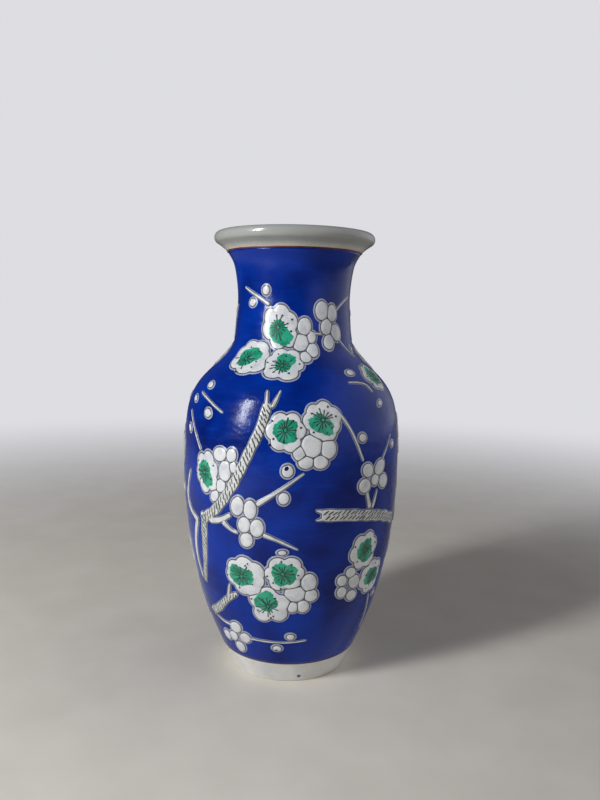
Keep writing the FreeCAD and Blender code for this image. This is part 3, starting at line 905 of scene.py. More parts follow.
@dataclass(frozen=True)
class LobedShape:
    """An open blossom's flat shape: round petals about a middle, each a little different."""

    lobes: int
    seed: int
    uneven: float = 0.08
    reach: float = 0.5
    lobe_radius: float = 0.5
    middle_radius: float = 0.8
    around: int = 90
    shares: tuple[float, ...] = (1.0, 0.994, 0.975, 0.95, 0.925, 0.9, 0.87, 0.83, 0.78, 0.68, 0.5, 0.25)

    def rounds(self) -> list[Triple]:
        """The circles that the shape is the outline of: places and radii."""
        draw = random.Random(self.seed)
        circles = [(0.0, 0.0, self.middle_radius)]
        for number in range(self.lobes):
            angle = 2 * math.pi * (number + draw.uniform(-0.12, 0.12)) / self.lobes
            out = self.reach * (1 + draw.uniform(-self.uneven, self.uneven))
            radius = self.lobe_radius * (1 + draw.uniform(-self.uneven, self.uneven))
            circles.append((out * math.cos(angle), out * math.sin(angle), radius))
        return circles

    def build(self, name: str) -> Object:
        """Makes the shape.

        Args:
            name: the shape's name.

        Returns:
            The template.
        """
        circles = self.rounds()
        edges = [max(self.along_ray(2 * math.pi * at / self.around, circle) for circle in circles)
                 for at in range(self.around)]
        points = disc_points(edges, self.shares)
        insets = [max(radius - math.hypot(x - px, y - py) for px, py, radius in circles)
                  for x, y in points]
        return template(name, points, disc_faces(self.around, len(self.shares)),
                        [max(inset, 0.0) for inset in insets])

    @staticmethod
    def along_ray(angle: float, circle: Triple) -> float:
        """How far a ray from the middle goes before it leaves a circle."""
        x, y, radius = circle
        forward = x * math.cos(angle) + y * math.sin(angle)
        aside = x * math.sin(angle) - y * math.cos(angle)
        under = radius ** 2 - aside ** 2
        return forward + math.sqrt(under) if under > 0 else 0.0


def oval_shape(name: str, around: int = 32) -> Object:
    """A petal's flat shape: a round disc of one unit, to be stretched."""
    shares = (1.0, 0.985, 0.93, 0.86, 0.79, 0.71, 0.63, 0.54, 0.44, 0.33, 0.17)
    points = disc_points([1.0] * around, shares)
    insets = [1 - math.hypot(x, y) for x, y in points]
    return template(name, points, disc_faces(around, len(shares)), insets)


def dab_shape(name: str, seed: int, around: int = 60, squareness: float = 2.8) -> Object:
    """A brush dab's flat shape: a disc of one unit with a ragged rim."""
    draw = random.Random(seed)
    waves = [(count, draw.uniform(0, 2 * math.pi), size)
             for count, size in ((3, 0.07), (5, 0.05), (9, 0.035), (17, 0.03))]
    shares = (1.0, 0.93, 0.84, 0.7, 0.45, 0.2)
    edges = []
    for at in range(around):
        angle = 2 * math.pi * at / around
        across, along = abs(math.cos(angle)), abs(math.sin(angle))
        square = (across ** squareness + along ** squareness) ** (-1 / squareness)
        edges.append(square + sum(size * math.sin(count * angle + phase) for count, phase, size in waves))
    points = disc_points(edges, shares)
    insets = [1 - shares[number // around] for number in range(len(points) - 1)] + [1.0]
    return template(name, points, disc_faces(around, len(shares)), insets)


def ring_shape(name: str, around: int = 24) -> Object:
    """A blossom's heart: a flat ring of one unit with an open middle."""
    points = disc_points([1.0] * around, (1.0, 0.66))[:-1]
    faces = [(at, (at + 1) % around, around + (at + 1) % around, around + at) for at in range(around)]
    return template(name, points, faces, [1.0] * len(points))


def stroke_shape(name: str, tip: float) -> Object:
    """A brush stroke's flat shape, one unit long from its start.

    Args:
        name: the shape's name.
        tip: how wide the stroke's round end is beside its shaft of one unit.

    Returns:
        The template.
    """
    outline = [(0.0, 0.35), (0.3, 0.45), (0.72, 0.5), (0.8, tip * 0.5), (0.9, tip * 0.62),
               (0.98, tip * 0.4)]
    points = outline + [(1.0, 0.0)] + [(x, -y) for x, y in reversed(outline)]
    faces = []
    count = len(points)
    for at in range(len(outline) - 1):
        faces.append((at, count - 1 - at, count - 2 - at, at + 1))
    faces.append((len(outline) - 1, len(outline) + 1, len(outline)))
    return template(name, points, faces, [1.0] * count)


def dot_shape(name: str) -> Object:
    """A brush dot's flat shape: a small disc."""
    around = 10
    return template(name, disc_points([1.0] * around)[:-1], [tuple(range(around))], [1.0] * around)


class Scatter:
    """A Geometry Nodes tree that lays one flat shape on many points.

    Each point has a centre, a half size and a lean as attributes. What is laid keeps its
    point's centre, so that it can be laid on the pot afterwards.
    """

    def __init__(self, name: str) -> None:
        """Starts a tree.

        Args:
            name: the tree's name.
        """
        self.tree = bpy.data.node_groups.new(name, "GeometryNodeTree")
        self.tree.is_modifier = True
        self.sockets: dict[str, str] = {}
        self.add_socket("Geometry", "NodeSocketGeometry")
        self.add_socket("Shape", "NodeSocketObject")
        self.add_socket("Finish", "NodeSocketMaterial")
        self.tree.interface.new_socket("Geometry", in_out="OUTPUT", socket_type="NodeSocketGeometry")
        self.into = self.tree.nodes.new("NodeGroupInput")

    def add_socket(self, name: str, kind: str) -> None:
        """Adds a named input to the tree."""
        made = self.tree.interface.new_socket(name, in_out="INPUT", socket_type=kind)
        self.sockets[name] = made.identifier

    def value(self, name: str) -> NodeSocket:
        """One of the tree's inputs."""
        return self.into.outputs[name]

    def named(self, name: str, kind: str) -> NodeSocket:
        """An attribute of the points or of what is laid on them."""
        made = add_node(self.tree, "GeometryNodeInputNamedAttribute", {"data_type": kind}, {"Name": name})
        return made.outputs["Attribute"]

    def maths(self, what: str, first: object, second: object = 0.0) -> NodeSocket:
        """One step of arithmetic."""
        return maths(self.tree, what, first, second)

    def vector(self, x: object, y: object, z: object) -> NodeSocket:
        """A vector from three values."""
        return add_node(self.tree, "ShaderNodeCombineXYZ", links={"X": x, "Y": y, "Z": z}).outputs[0]

    def chance(self, low: object, high: object, salt: int) -> NodeSocket:
        """A random value for each point, which the tree's seed and a salt fix."""
        seed = self.maths("ADD", self.value("Seed"), salt)
        return add_node(self.tree, "FunctionNodeRandomValue", {"data_type": "FLOAT"},
                        {"Seed": seed, 2: low, 3: high}).outputs[1]

    def lay(self, points: NodeSocket, turn: NodeSocket,
            size: NodeSocket) -> NodeSocket:
        """Lays the shape on the points and makes it real.

        Args:
            points: the points.
            turn: how far the shape turns on each.
            size: how much it is stretched on each.

        Returns:
            The geometry.
        """
        shape = add_node(self.tree, "GeometryNodeObjectInfo", links={"Object": self.value("Shape")})
        laid = add_node(self.tree, "GeometryNodeInstanceOnPoints", links={
            "Points": points, "Instance": shape.outputs["Geometry"],
            "Rotation": self.vector(0.0, 0.0, turn), "Scale": size})
        return add_node(self.tree, "GeometryNodeRealizeInstances", links={
            "Geometry": laid.outputs["Instances"]}).outputs["Geometry"]

    def raise_by(self, geometry: NodeSocket, lift: object) -> NodeSocket:
        """Moves geometry off the sheet by a lift."""
        return add_node(self.tree, "GeometryNodeSetPosition", links={
            "Geometry": geometry, "Offset": self.vector(0.0, 0.0, lift)}).outputs["Geometry"]

    def finish(self, geometry: NodeSocket) -> None:
        """Ends the tree: everything gets the finish that goes in."""
        dressed = add_node(self.tree, "GeometryNodeSetMaterial", links={
            "Geometry": geometry, "Material": self.value("Finish")})
        add_node(self.tree, "NodeGroupOutput", links={"Geometry": dressed.outputs["Geometry"]})

    def run(self, name: str, points: Mesh, shape: Object,
            finish: Material, **inputs: float) -> Mesh:
        """Runs the tree on a mesh of points and gives the plain mesh that comes out.

        Args:
            name: the result's name.
            points: the points with their attributes.
            shape: the flat shape to lay.
            finish: the material of what is laid.
            inputs: the tree's other inputs by name, with _ for a space.

        Returns:
            The mesh, still flat and in mm.
        """
        carrier = stand(name + "_points", points)
        modifier = carrier.modifiers.new(name, "NODES")
        modifier.node_group = self.tree
        modifier[self.sockets["Shape"]] = shape
        modifier[self.sockets["Finish"]] = finish
        for key, value in inputs.items():
            modifier[self.sockets[key.replace("_", " ")]] = value
        graph = bpy.context.evaluated_depsgraph_get()
        mesh = bpy.data.meshes.new_from_object(carrier.evaluated_get(graph))
        carrier.modifiers.remove(modifier)
        bpy.data.objects.remove(carrier)
        mesh.name = name
        return mesh


class ReliefScatter(Scatter):
    """Lays domed shapes: each rises from its edge to its full height within a few tenths of a mm."""

    def __init__(self) -> None:
        """Builds the tree."""
        super().__init__("lay_relief")
        for name in ("Edge", "Top", "Shoulder", "Skirt"):
            self.add_socket(name, "NodeSocketFloat")
        real = self.lay(self.value("Geometry"), self.named("lean", "FLOAT"),
                        self.named("half", "FLOAT_VECTOR"))
        inset = self.maths("MULTIPLY", self.named("unit_inset", "FLOAT"), self.named("reach", "FLOAT"))
        stored = add_node(self.tree, "GeometryNodeStoreNamedAttribute",
                          {"data_type": "FLOAT", "domain": "POINT"},
                          {"Geometry": real, "Name": "inset", "Value": inset})
        inward = self.named("inset", "FLOAT")
        rising = stretched(self.tree, inward, 0.0, self.value("Shoulder"), self.value("Edge"),
                           self.value("Top"), "SMOOTHSTEP")
        skirt = stretched(self.tree, inward, 0.0, RIM, self.value("Skirt"), 0.0)
        self.finish(self.raise_by(stored.outputs["Geometry"], self.maths("ADD", rising, skirt)))


class StrokeScatter(Scatter):
    """Lays strokes or dots in a ring about each point, each with its own small chance."""

    def __init__(self) -> None:
        """Builds the tree."""
        super().__init__("lay_strokes")
        self.add_socket("Count", "NodeSocketInt")
        self.add_socket("Seed", "NodeSocketInt")
        for name in ("Start", "Start Share", "Length", "Length Share", "Width", "Lift", "Waver"):
            self.add_socket(name, "NodeSocketFloat")
        copies = add_node(self.tree, "GeometryNodeDuplicateElements", {"domain": "POINT"}, {
            "Geometry": self.value("Geometry"), "Amount": self.value("Count")})
        number = copies.outputs["Duplicate Index"]
        wobble = self.maths("MULTIPLY", self.chance(-0.5, 0.5, 1), self.value("Waver"))
        share = self.maths("DIVIDE", self.maths("ADD", number, wobble), self.value("Count"))
        turn = self.maths("ADD", self.maths("MULTIPLY", share, 2 * math.pi), self.named("lean", "FLOAT"))
        reach = self.named("reach", "FLOAT")
        further = self.maths("MULTIPLY", self.maths("MULTIPLY", self.chance(0.8, 1.2, 2), reach),
                             self.value("Start Share"))
        out = self.maths("ADD", self.value("Start"), further)
        spread = self.vector(self.maths("MULTIPLY", out, self.maths("COSINE", turn)),
                             self.maths("MULTIPLY", out, self.maths("SINE", turn)), 0.0)
        ring = add_node(self.tree, "GeometryNodeSetPosition", links={
            "Geometry": copies.outputs["Geometry"], "Offset": spread})
        longer = self.maths("MULTIPLY", self.maths("MULTIPLY", self.chance(0.6, 1.25, 3), reach),
                            self.value("Length Share"))
        size = self.vector(self.maths("ADD", self.value("Length"), longer),
                           self.maths("MULTIPLY", self.value("Width"), self.chance(0.8, 1.2, 4)), 1.0)
        real = self.lay(ring.outputs["Geometry"], turn, size)
        self.finish(self.raise_by(real, self.value("Lift")))


def point_mesh(name: str, places: list[Pair], offsets: list[Pair],
               halves: list[Pair], leans: list[float]) -> Mesh:
    """Makes the points that a tree lays its shapes on.

    Args:
        name: the mesh's name.
        places: each point's turn and height on the pot.
        offsets: where each point lies about its place, in mm.
        halves: the half sizes of what is laid there.
        leans: its turns in radians.

    Returns:
        The mesh of loose points.
    """
    mesh = bpy.data.meshes.new(name)
    mesh.from_pydata([(x, y, 0.0) for x, y in offsets], [], [])
    centres = [part for turn, height in places for part in (turn, height, 0.0)]
    store(mesh, "centre", centres, "FLOAT_VECTOR")
    store(mesh, "half", [part for width, height in halves for part in (width, height, 1.0)], "FLOAT_VECTOR")
    store(mesh, "reach", [math.sqrt(width * height) for width, height in halves])
    store(mesh, "lean", leans)
    return mesh


def joined(name: str, meshes: list[Mesh]) -> Mesh:
    """Joins meshes into one and keeps their attributes.

    Args:
        name: the joined mesh's name.
        meshes: one or more meshes with the same attributes.

    Returns:
        The joined mesh.
    """
    holders = [stand(name + "_part", mesh) for mesh in meshes]
    with bpy.context.temp_override(active_object=holders[0], selected_editable_objects=holders):
        bpy.ops.object.join()
    whole = holders[0].data
    bpy.data.objects.remove(holders[0])
    whole.name = name
    return whole


@dataclass(frozen=True)
class Motif:
    """A blossom, petal or bud as it lies on the pot, with the rounds that its outline is made of."""

    place: Pair
    half: Pair
    lean: float
    rounds: tuple[Triple, ...] = ((0.0, 0.0, 1.0),)

    def inset(self, pot: PotSurface, turn: np.ndarray, height: np.ndarray) -> np.ndarray:
        """How far points lie inside the outline, in mm; negative outside it.

        Args:
            pot: the surface.
            turn: the points' turns.
            height: their heights.

        Returns:
            The depths.
        """
        across = np.radians(turn - self.place[0]) * float(pot.profile(self.place[1])[0])
        along = (height - self.place[1]) * float(pot.steepness(self.place[1]))
        cosine, sine = math.cos(self.lean), math.sin(self.lean)
        x = (across * cosine + along * sine) / self.half[0]
        y = (along * cosine - across * sine) / self.half[1]
        depths = [radius - np.hypot(x - px, y - py) for px, py, radius in self.rounds]
        return np.max(depths, axis=0) * math.sqrt(self.half[0] * self.half[1])


@dataclass
class Packing:
    """Where motifs lie over each other, they share one drawn line half way between them.

    Motifs nearer than same_place, in turn and height, are one and the same.
    """

    pot: PotSurface
    line_depth: float = 1.075
    same_place: float = 0.05
    reach: float = 30.0

    def share_lines(self, mesh: Mesh, motifs: list[Motif]) -> None:
        """Lessens the mesh's "inset" towards the middle of each overlap, so that a line is drawn there.

        Args:
            mesh: a flat mesh of motifs with "centre" and "inset".
            motifs: all the motifs near it.
        """
        turn, height, lift, centre = self.pot.unrolled(mesh)
        inset = np.zeros(len(mesh.vertices))
        mesh.attributes["inset"].data.foreach_get("value", inset)
        own = inset.copy()
        for motif in motifs:
            away = np.hypot(centre[:, 0] - motif.place[0], centre[:, 1] - motif.place[1])
            near = (away > self.same_place) & (away < self.reach)
            if near.any():
                other = motif.inset(self.pot, turn[near], height[near])
                shared = self.line_depth + (own[near] - other) / 2
                inset[near] = np.where(other > 0, np.minimum(inset[near], shared), inset[near])
        mesh.attributes["inset"].data.foreach_set("value", np.maximum(inset, 0.0))


@dataclass
class Painter:
    """The trees, flat shapes and finishes that every bough is painted with."""

    pot: PotSurface
    white: Material
    bark: Material
    green: Material
    dark: Material
    blue: Material

    def __post_init__(self) -> None:
        """Makes the trees and the flat shapes once."""
        self.relief = ReliefScatter()
        self.strokes = StrokeScatter()
        self.lobed = [LobedShape(lobes, seed) for seed, lobes in enumerate((6, 7, 6, 5, 6))]
        self.blossom_shapes = [shape.build(f"blossom_{shape.seed}") for shape in self.lobed]
        self.packing = Packing(self.pot)
        self.oval = oval_shape("petal")
        self.dabs = [dab_shape(f"dab_{seed}", seed) for seed in range(3)]
        self.ring = ring_shape("heart")
        self.stamen = stroke_shape("stamen", 1.25)
        self.hatch = stroke_shape("hatch", 0.7)
        self.dot = dot_shape("dot")


@dataclass(frozen=True)
class Mark:
    """Marks in a ring about a blossom's heart, in mm. A share is one of the blossom's half size."""

    count: int
    length: float
    width: float
    start: float = 0.0
    start_share: float = 0.0
    length_share: float = 0.0
    waver: float = 0.0


@dataclass
class Bough:
    """One bough of plum blossom, laid on the coat once for each of its turns.

    Lengths are in mm. Each wash is how far a motif's pale border reaches past its half size.
    """

    plan: BoughPlan
    painter: Painter
    wash: float = 1.0
    petal_wash: float = 1.8
    bud_wash: float = 0.5
    wood_wash: float = 0.5
    shoulder: float = 2.6
    stamens: int = 15
    dots: int = 6
    green_grow: float = 1.08
    heart_radius: float = 1.15
    hatched_from: float = 3.6
    hatch_spacing: float = 2.6
    hatch_lean: float = 42.0
    hatch_borders: Pair = (1.5, 2.0)
    hatch_sides: tuple[Pair, Pair] = ((-0.4, -0.34), (0.02, 0.08))
    hatch_reach: Pair = (0.48, 0.66)
    hatch_thickness: Pair = (0.62, 0.82)
    wave_pace: Pair = (1.2, 2.6)
    wave_size: Pair = (0.02, 0.05)
    core: float = 1.25
    wood_step: float = 0.8
    tip_run: float = 1.2
    tip_share: float = 0.55

    def turned(self, turn: float, height: float) -> list[Pair]:
        """The places of one thing at each of the bough's turns."""
        return [(turn + laid, height) for laid in self.plan.laid.value]

    def relief_mesh(self, name: str, rows: list[Row],
                    shape: Object, finish: Material, top: float,
                    shoulder: float, edge: float = Lift.EDGE.value, skirt: float = Lift.SKIRT.value,
                    offset: Pair = (0.0, 0.0)) -> Mesh:
        """Lays one domed shape at each row's place.

        Args:
            name: the mesh's name.
            rows: turns, heights, half sizes in mm and leans in degrees.
            shape: the flat shape.
            finish: its material.
            top: how high it stands in mm.
            shoulder: how far in from its edge it reaches that height, in mm.
            edge: how high its edge stands in mm.
            skirt: how far its very rim drops below the edge, in mm.
            offset: how far it lies from its place, in mm.

        Returns:
            The flat mesh.
        """
        places, halves, leans = [], [], []
        for turn, height, wide, high, lean in rows:
            for place in self.turned(turn, height):
                places.append(place)
                halves.append((wide, high))
                leans.append(math.radians(lean))
        points = point_mesh(name, places, [offset] * len(places), halves, leans)
        return self.painter.relief.run(name, points, shape, finish, Edge=edge, Top=top,
                                       Shoulder=shoulder, Skirt=skirt)

    def shape_number(self, number: int) -> int:
        """Which of the blossoms' shapes the bough's blossom of that number has."""
        return (number + len(self.plan.name)) % len(self.painter.lobed)

    def piece(self, kind: str, meshes: list[Mesh], slot: str) -> None:
        """Lays flat meshes on the pot as the piece that stands for one CAD node."""
        name = f"{self.plan.name}_{kind}"
        mesh = joined(name, meshes) if len(meshes) > 1 else meshes[0]
        self.painter.pot.wrap(mesh)
        mesh.shade_smooth()
        show("painted_" + name, mesh, None, (name,))

    def motifs(self) -> list[Motif]:
        """All the blossoms, petals and buds of the bough, as they are laid."""
        found = []
        for number, row in enumerate(self.plan.blossoms):
            lobed = self.painter.lobed[self.shape_number(number)]
            found += [Motif(place, (row.half_width + self.wash, row.half_height + self.wash),
                            math.radians(row.spin), tuple(lobed.rounds()))
                      for place in self.turned(row.turn, row.height)]
        for rows, wash in ((self.plan.petals, self.petal_wash), (self.plan.buds, self.bud_wash)):
            for row in rows:
                found += [Motif(place, (row.half_length + wash, row.half_width + wash),
                                math.radians(row.lean)) for place in self.turned(row.turn, row.height)]
        return found

    def build_blossoms(self) -> None:
        """Makes the white blossoms."""
        meshes = []
        for number, row in enumerate(self.plan.blossoms):
            shape = self.painter.blossom_shapes[self.shape_number(number)]
            size = (row.half_width + self.wash, row.half_height + self.wash)
            mesh = self.relief_mesh("blossom", [(row.turn, row.height, *size, row.spin)], shape,
                                    self.painter.white, Lift.BLOSSOM.value, self.shoulder)
            self.painter.packing.share_lines(mesh, self.motifs())
            meshes.append(mesh)
        self.piece("blossoms", meshes, "white_enamel")

    def build_greens(self) -> None:
        """Makes the green dabs, with the hearts, the stamens and the dots drawn over them."""
        painter, radius = self.painter, self.heart_radius
        marks = ((painter.ring, Mark(1, length=radius, width=radius)),
                 (painter.stamen, Mark(self.stamens, length=0.0, width=0.46, start=radius,
                                       length_share=0.42, waver=0.6)),
                 (painter.dot, Mark(self.dots, length=0.62, width=0.5, start_share=0.7, waver=1.4)))
        meshes = []
        for number, row in enumerate(self.plan.blossoms):
            dx, dy, wide, high = row.green
            wide, high = wide * self.green_grow, high * self.green_grow
            meshes.append(self.relief_mesh("dab", [(row.turn, row.height, wide, high, row.spin * 2)],
                                           painter.dabs[number % len(painter.dabs)], painter.green,
                                           top=Lift.GREEN.value, shoulder=0.5, skirt=0.0,
                                           edge=Lift.BLOSSOM.value, offset=(dx, dy)))
            places = self.turned(row.turn, row.height)
            half = [(row.half_width, row.half_height)] * len(places)
            spin = [math.radians(row.spin)] * len(places)
            seed = number * 7 + len(self.plan.name)
            for shape, mark in marks:
                points = point_mesh("drawn", places, [row.heart] * len(places), half, spin)
                meshes.append(painter.strokes.run(
                    "drawn", points, shape, painter.dark, Count=mark.count, Seed=seed, Start=mark.start,
                    Start_Share=mark.start_share, Length=mark.length, Length_Share=mark.length_share,
                    Width=mark.width, Lift=Lift.STROKE.value, Waver=mark.waver))
        self.piece("greens", meshes, "green_enamel")

    def build_spots(self) -> list[Mesh]:
        """Makes the few blue spots that the brush let fall."""
        if not self.plan.spots:
            return []
        rows = [(row.turn, row.height, row.half_length, row.half_width, row.lean)
                for row in self.plan.spots]
        return [self.relief_mesh("spots", rows, self.painter.oval, self.painter.blue,
                                 top=Lift.SPOT.value, shoulder=0.3, edge=Lift.WOOD.value, skirt=0.0)]

    def build_ovals(self, kind: str, rows: tuple[Oval, ...], wash: float,
                    marks: tuple[Mesh, ...] = ()) -> None:
        """Makes the single petals or the buds, with a wash that goes so many mm past each."""
        sizes = [(row.turn, row.height, row.half_length + wash, row.half_width + wash, row.lean)
                 for row in rows]
        mesh = self.relief_mesh(kind, sizes, self.painter.oval, self.painter.white, Lift.PETAL.value,
                                self.shoulder)
        self.painter.packing.share_lines(mesh, self.motifs())
        self.piece(kind, [mesh, *marks], "white_enamel")

    def smooth_line(self, wood: Wood) -> np.ndarray:
        """Runs a smooth line through a branch's points.

        Args:
            wood: the branch or twig.

        Returns:
            Rows of turn, height, length so far in mm and share of the whole.
        """
        pot = self.painter.pot
        points = np.array(wood.line, float)
        ends = np.vstack([2 * points[0] - points[1], points, 2 * points[-1] - points[-2]])
        fine = []
        for at in range(1, len(ends) - 2):
            for step in np.linspace(0, 1, 24, endpoint=False):
                before, start, end, after = ends[at - 1:at + 3]
                fine.append(0.5 * (2 * start + (end - before) * step
                                   + (2 * before - 5 * start + 4 * end - after) * step ** 2
                                   + (3 * start - before - 3 * end + after) * step ** 3))
        fine = np.array(fine + [points[-1]])
        moves = np.diff(fine, axis=0)
        across = np.radians(moves[:, 0]) * pot.profile(fine[:-1, 1])[0]
        along = moves[:, 1] * pot.steepness(fine[:-1, 1])
        length = np.concatenate([[0], np.cumsum(np.hypot(across, along))])
        whole = length[-1]
        count = max(4, int(whole / self.wood_step))
        near = np.array([0.06, 0.3])
        even = np.sort(np.concatenate([np.linspace(0, whole, count + 1), near, whole - near]))
        return np.stack([np.interp(even, length, fine[:, 0]), np.interp(even, length, fine[:, 1]),
                         even, even / whole], axis=1)

    def directions(self, line: np.ndarray) -> np.ndarray:
        """The way a line runs at each of its points, as angles on the flat wall."""
        pot = self.painter.pot
        step = np.gradient(line[:, :2], line[:, 2], axis=0)
        across = np.radians(step[:, 0]) * pot.profile(line[:, 1])[0]
        along = step[:, 1] * pot.steepness(line[:, 1])
        return np.arctan2(along, across)

    def wood_mesh(self, wood: Wood, laid: float, seed: int) -> Mesh:
        """Makes one branch or twig as a domed strip along its line.

        Args:
            wood: the branch or twig.
            laid: the turn that the bough is laid at.
            seed: fixes its uneven edge.

        Returns:
            The flat mesh.
        """
        draw = random.Random(seed)
        line = self.smooth_line(wood)
        angles = self.directions(line)
        shares = (-1.0, -0.97, -0.86, -0.7, -0.5, -0.25, 0.0, 0.25, 0.5, 0.7, 0.86, 0.97, 1.0)
        waves = [(draw.uniform(*self.wave_pace), draw.uniform(0, 6), draw.uniform(*self.wave_size))
                 for _ in range(3)]
        points, centres, insets, lifts = [], [], [], []
        for (turn, height, run, share), angle in zip(line, angles):
            width = wood.start_width + (wood.end_width - wood.start_width) * share
            half = width / 2 + self.wood_wash
            half *= 1 + sum(size * math.sin(run / pace + phase) for pace, phase, size in waves)
            end = min(run, line[-1, 2] - run)
            half *= self.tip_share + (1 - self.tip_share) * min(1.0, end / self.tip_run)
            for part in shares:
                points.append((-math.sin(angle) * half * part, math.cos(angle) * half * part))
                centres += [turn + laid, height, 0.0]
                insets.append(min(half * (1 - abs(part)), end) * max(1.0, self.core / half))
        columns = len(shares)
        faces = []
        for row in range(len(line) - 1):
            for at in range(columns - 1):
                near, far = row * columns, (row + 1) * columns
                faces.append((near + at + 1, near + at, far + at, far + at + 1))
        peak = min(self.tip_run, max(insets))
        rise = Lift.WOOD.value - Lift.EDGE.value
        for inset in insets:
            share = min(1.0, inset / peak)
            dropped = Lift.SKIRT.value * (1 - min(1.0, inset / RIM))
            lifts.append(Lift.EDGE.value + dropped + rise * share * share * (3 - 2 * share))
        mesh = bpy.data.meshes.new("wood")
        mesh.from_pydata([(x, y, lift) for (x, y), lift in zip(points, lifts)], [], faces)
        store(mesh, "centre", centres, "FLOAT_VECTOR")
        store(mesh, "inset", insets)
        mesh.materials.append(self.painter.bark)
        return mesh

    def hatch_rows(self, wood: Wood) -> list[Row]:
        """Where the strokes lie along a thick branch.

        Args:
            wood: the branch.

        Returns:
            Turns, heights, half lengths, half widths and leans of the strokes.
        """
        line = self.smooth_line(wood)
        angles = self.directions(line)
        draw = random.Random(len(line))
        rows = []
        run = self.hatch_borders[0]
        side = 1
        while run < line[-1, 2] - self.hatch_borders[1]:
            turn, height, angle = (float(np.interp(run, line[:, 2], values))
                                   for values in (line[:, 0], line[:, 1], angles))
            share = run / line[-1, 2]
            width = wood.start_width + (wood.end_width - wood.start_width) * share
            aside = width * draw.uniform(*self.hatch_sides[side])
            radius = float(self.painter.pot.profile(height)[0])
            steep = float(self.painter.pot.steepness(height))
            turn += math.degrees(-math.sin(angle) * aside / radius)
            height += math.cos(angle) * aside / steep
            lean = math.degrees(angle) + self.hatch_lean + draw.uniform(-8, 8)
            rows.append((turn, height, width * draw.uniform(*self.hatch_reach),
                         draw.uniform(*self.hatch_thickness), lean))
            run += self.hatch_spacing * draw.uniform(0.8, 1.2) / 2
            side = 1 - side
        return rows

    def build_wood(self) -> None:
        """Makes the branches and twigs, with the hatching on the thick ones."""
        meshes = []
        for number, wood in enumerate(self.plan.wood):
            for laid in self.plan.laid.value:
                meshes.append(self.wood_mesh(wood, laid, number + 1))
            if max(wood.start_width, wood.end_width) > self.hatched_from:
                meshes.append(self.relief_mesh("hatching", self.hatch_rows(wood), self.painter.hatch,
                                               self.painter.dark, top=Lift.HATCH.value, shoulder=1.0,
                                               edge=Lift.HATCH.value, skirt=0.0))
        self.piece("wood", meshes, "branch_enamel")

    def build(self) -> None:
        """Makes every piece of the bough."""
        self.build_wood()
        self.build_blossoms()
        self.build_greens()
        self.build_ovals("petals", self.plan.petals, self.petal_wash)
        self.build_ovals("buds", self.plan.buds, self.bud_wash, tuple(self.build_spots()))


@dataclass
class BlueCoat:
    """The blue ground and the two red lines that bound it."""

    pot: PotSurface
    rows: int = 200
    inner_rows: int = 72
    around: int = 320
    seat: float = -0.3
    line_share: float = 0.62
    line_rise: float = 0.16
    line_steps: int = 12

    def build(self) -> None:
        """Makes the coat and the lines."""
        self.build_ground()
        self.build_line("foot_line", 0)
        self.build_line("rim_line", -1)

    def build_ground(self) -> None:
        """Makes the blue coat as a thin closed skin."""
        low, high = self.pot.heights[0], self.pot.heights[-1]
        outside = [(float(height), 0.0) for height in np.linspace(low, high, self.rows)]
        inside = [(float(height), self.seat) for height in np.linspace(high, low, self.inner_rows)]
        mesh = turned_mesh("blue_ground", self.pot, outside + inside, self.around)
        show("blue_ground", mesh, CobaltEnamel().build(), ("blue_enamel",))

    def build_line(self, node: str, end: int) -> None:
        """Makes one red line as a low rounded ridge.

        Args:
            node: the CAD node that it stands for.
            end: which end of the coat it bounds, 0 for the lower and -1 for the upper.
        """
        low, high = (corner.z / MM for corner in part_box(node))
        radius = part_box(node)[1].x / MM
        slope = float(self.pot.profile(self.pot.heights[end])[1])
        middle = (low + high) / 2
        half = (high - low) / 2 * self.line_share
        angles = [2 * math.pi * step / self.line_steps for step in range(self.line_steps)]
        section = [(middle - half * math.cos(angle), self.line_rise * math.sin(angle)) for angle in angles]
        flat = PotSurface(np.array([low - 1, high + 1]),
                          np.array([radius - slope * (high - low + 1), radius]), np.zeros(2), 0.0)
        mesh = turned_mesh(node, flat, section, self.around)
        show("drawn_" + node, mesh, IronRedLine().build(), (node,))


@dataclass
class Clay:
    """The porcelain: foot ring, lower body, upper body, and the neck with its mouth."""

    nodes: tuple[str, ...] = ("foot_ring", "lower_body", "upper_body", "neck_and_mouth")

    def build(self) -> None:
        """Gives the CAD nodes their glaze."""
        glaze = GlazedPorcelain().build()
        for name in self.nodes:
            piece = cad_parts[name]
            for slot in piece.material_slots:
                slot.material = glaze
            LOG.info("%s: dressed", name)


@dataclass(frozen=True)
class Lamp:
    """A flat lamp: where it hangs and its width and height in mm, its power in watts, its colour."""

    name: str = "window"
    place: Triple = (-640.0, -500.0, 480.0)
    size: Pair = (125.0, 520.0)
    power: float = 8.8
    colour: str = "f1f5fb"


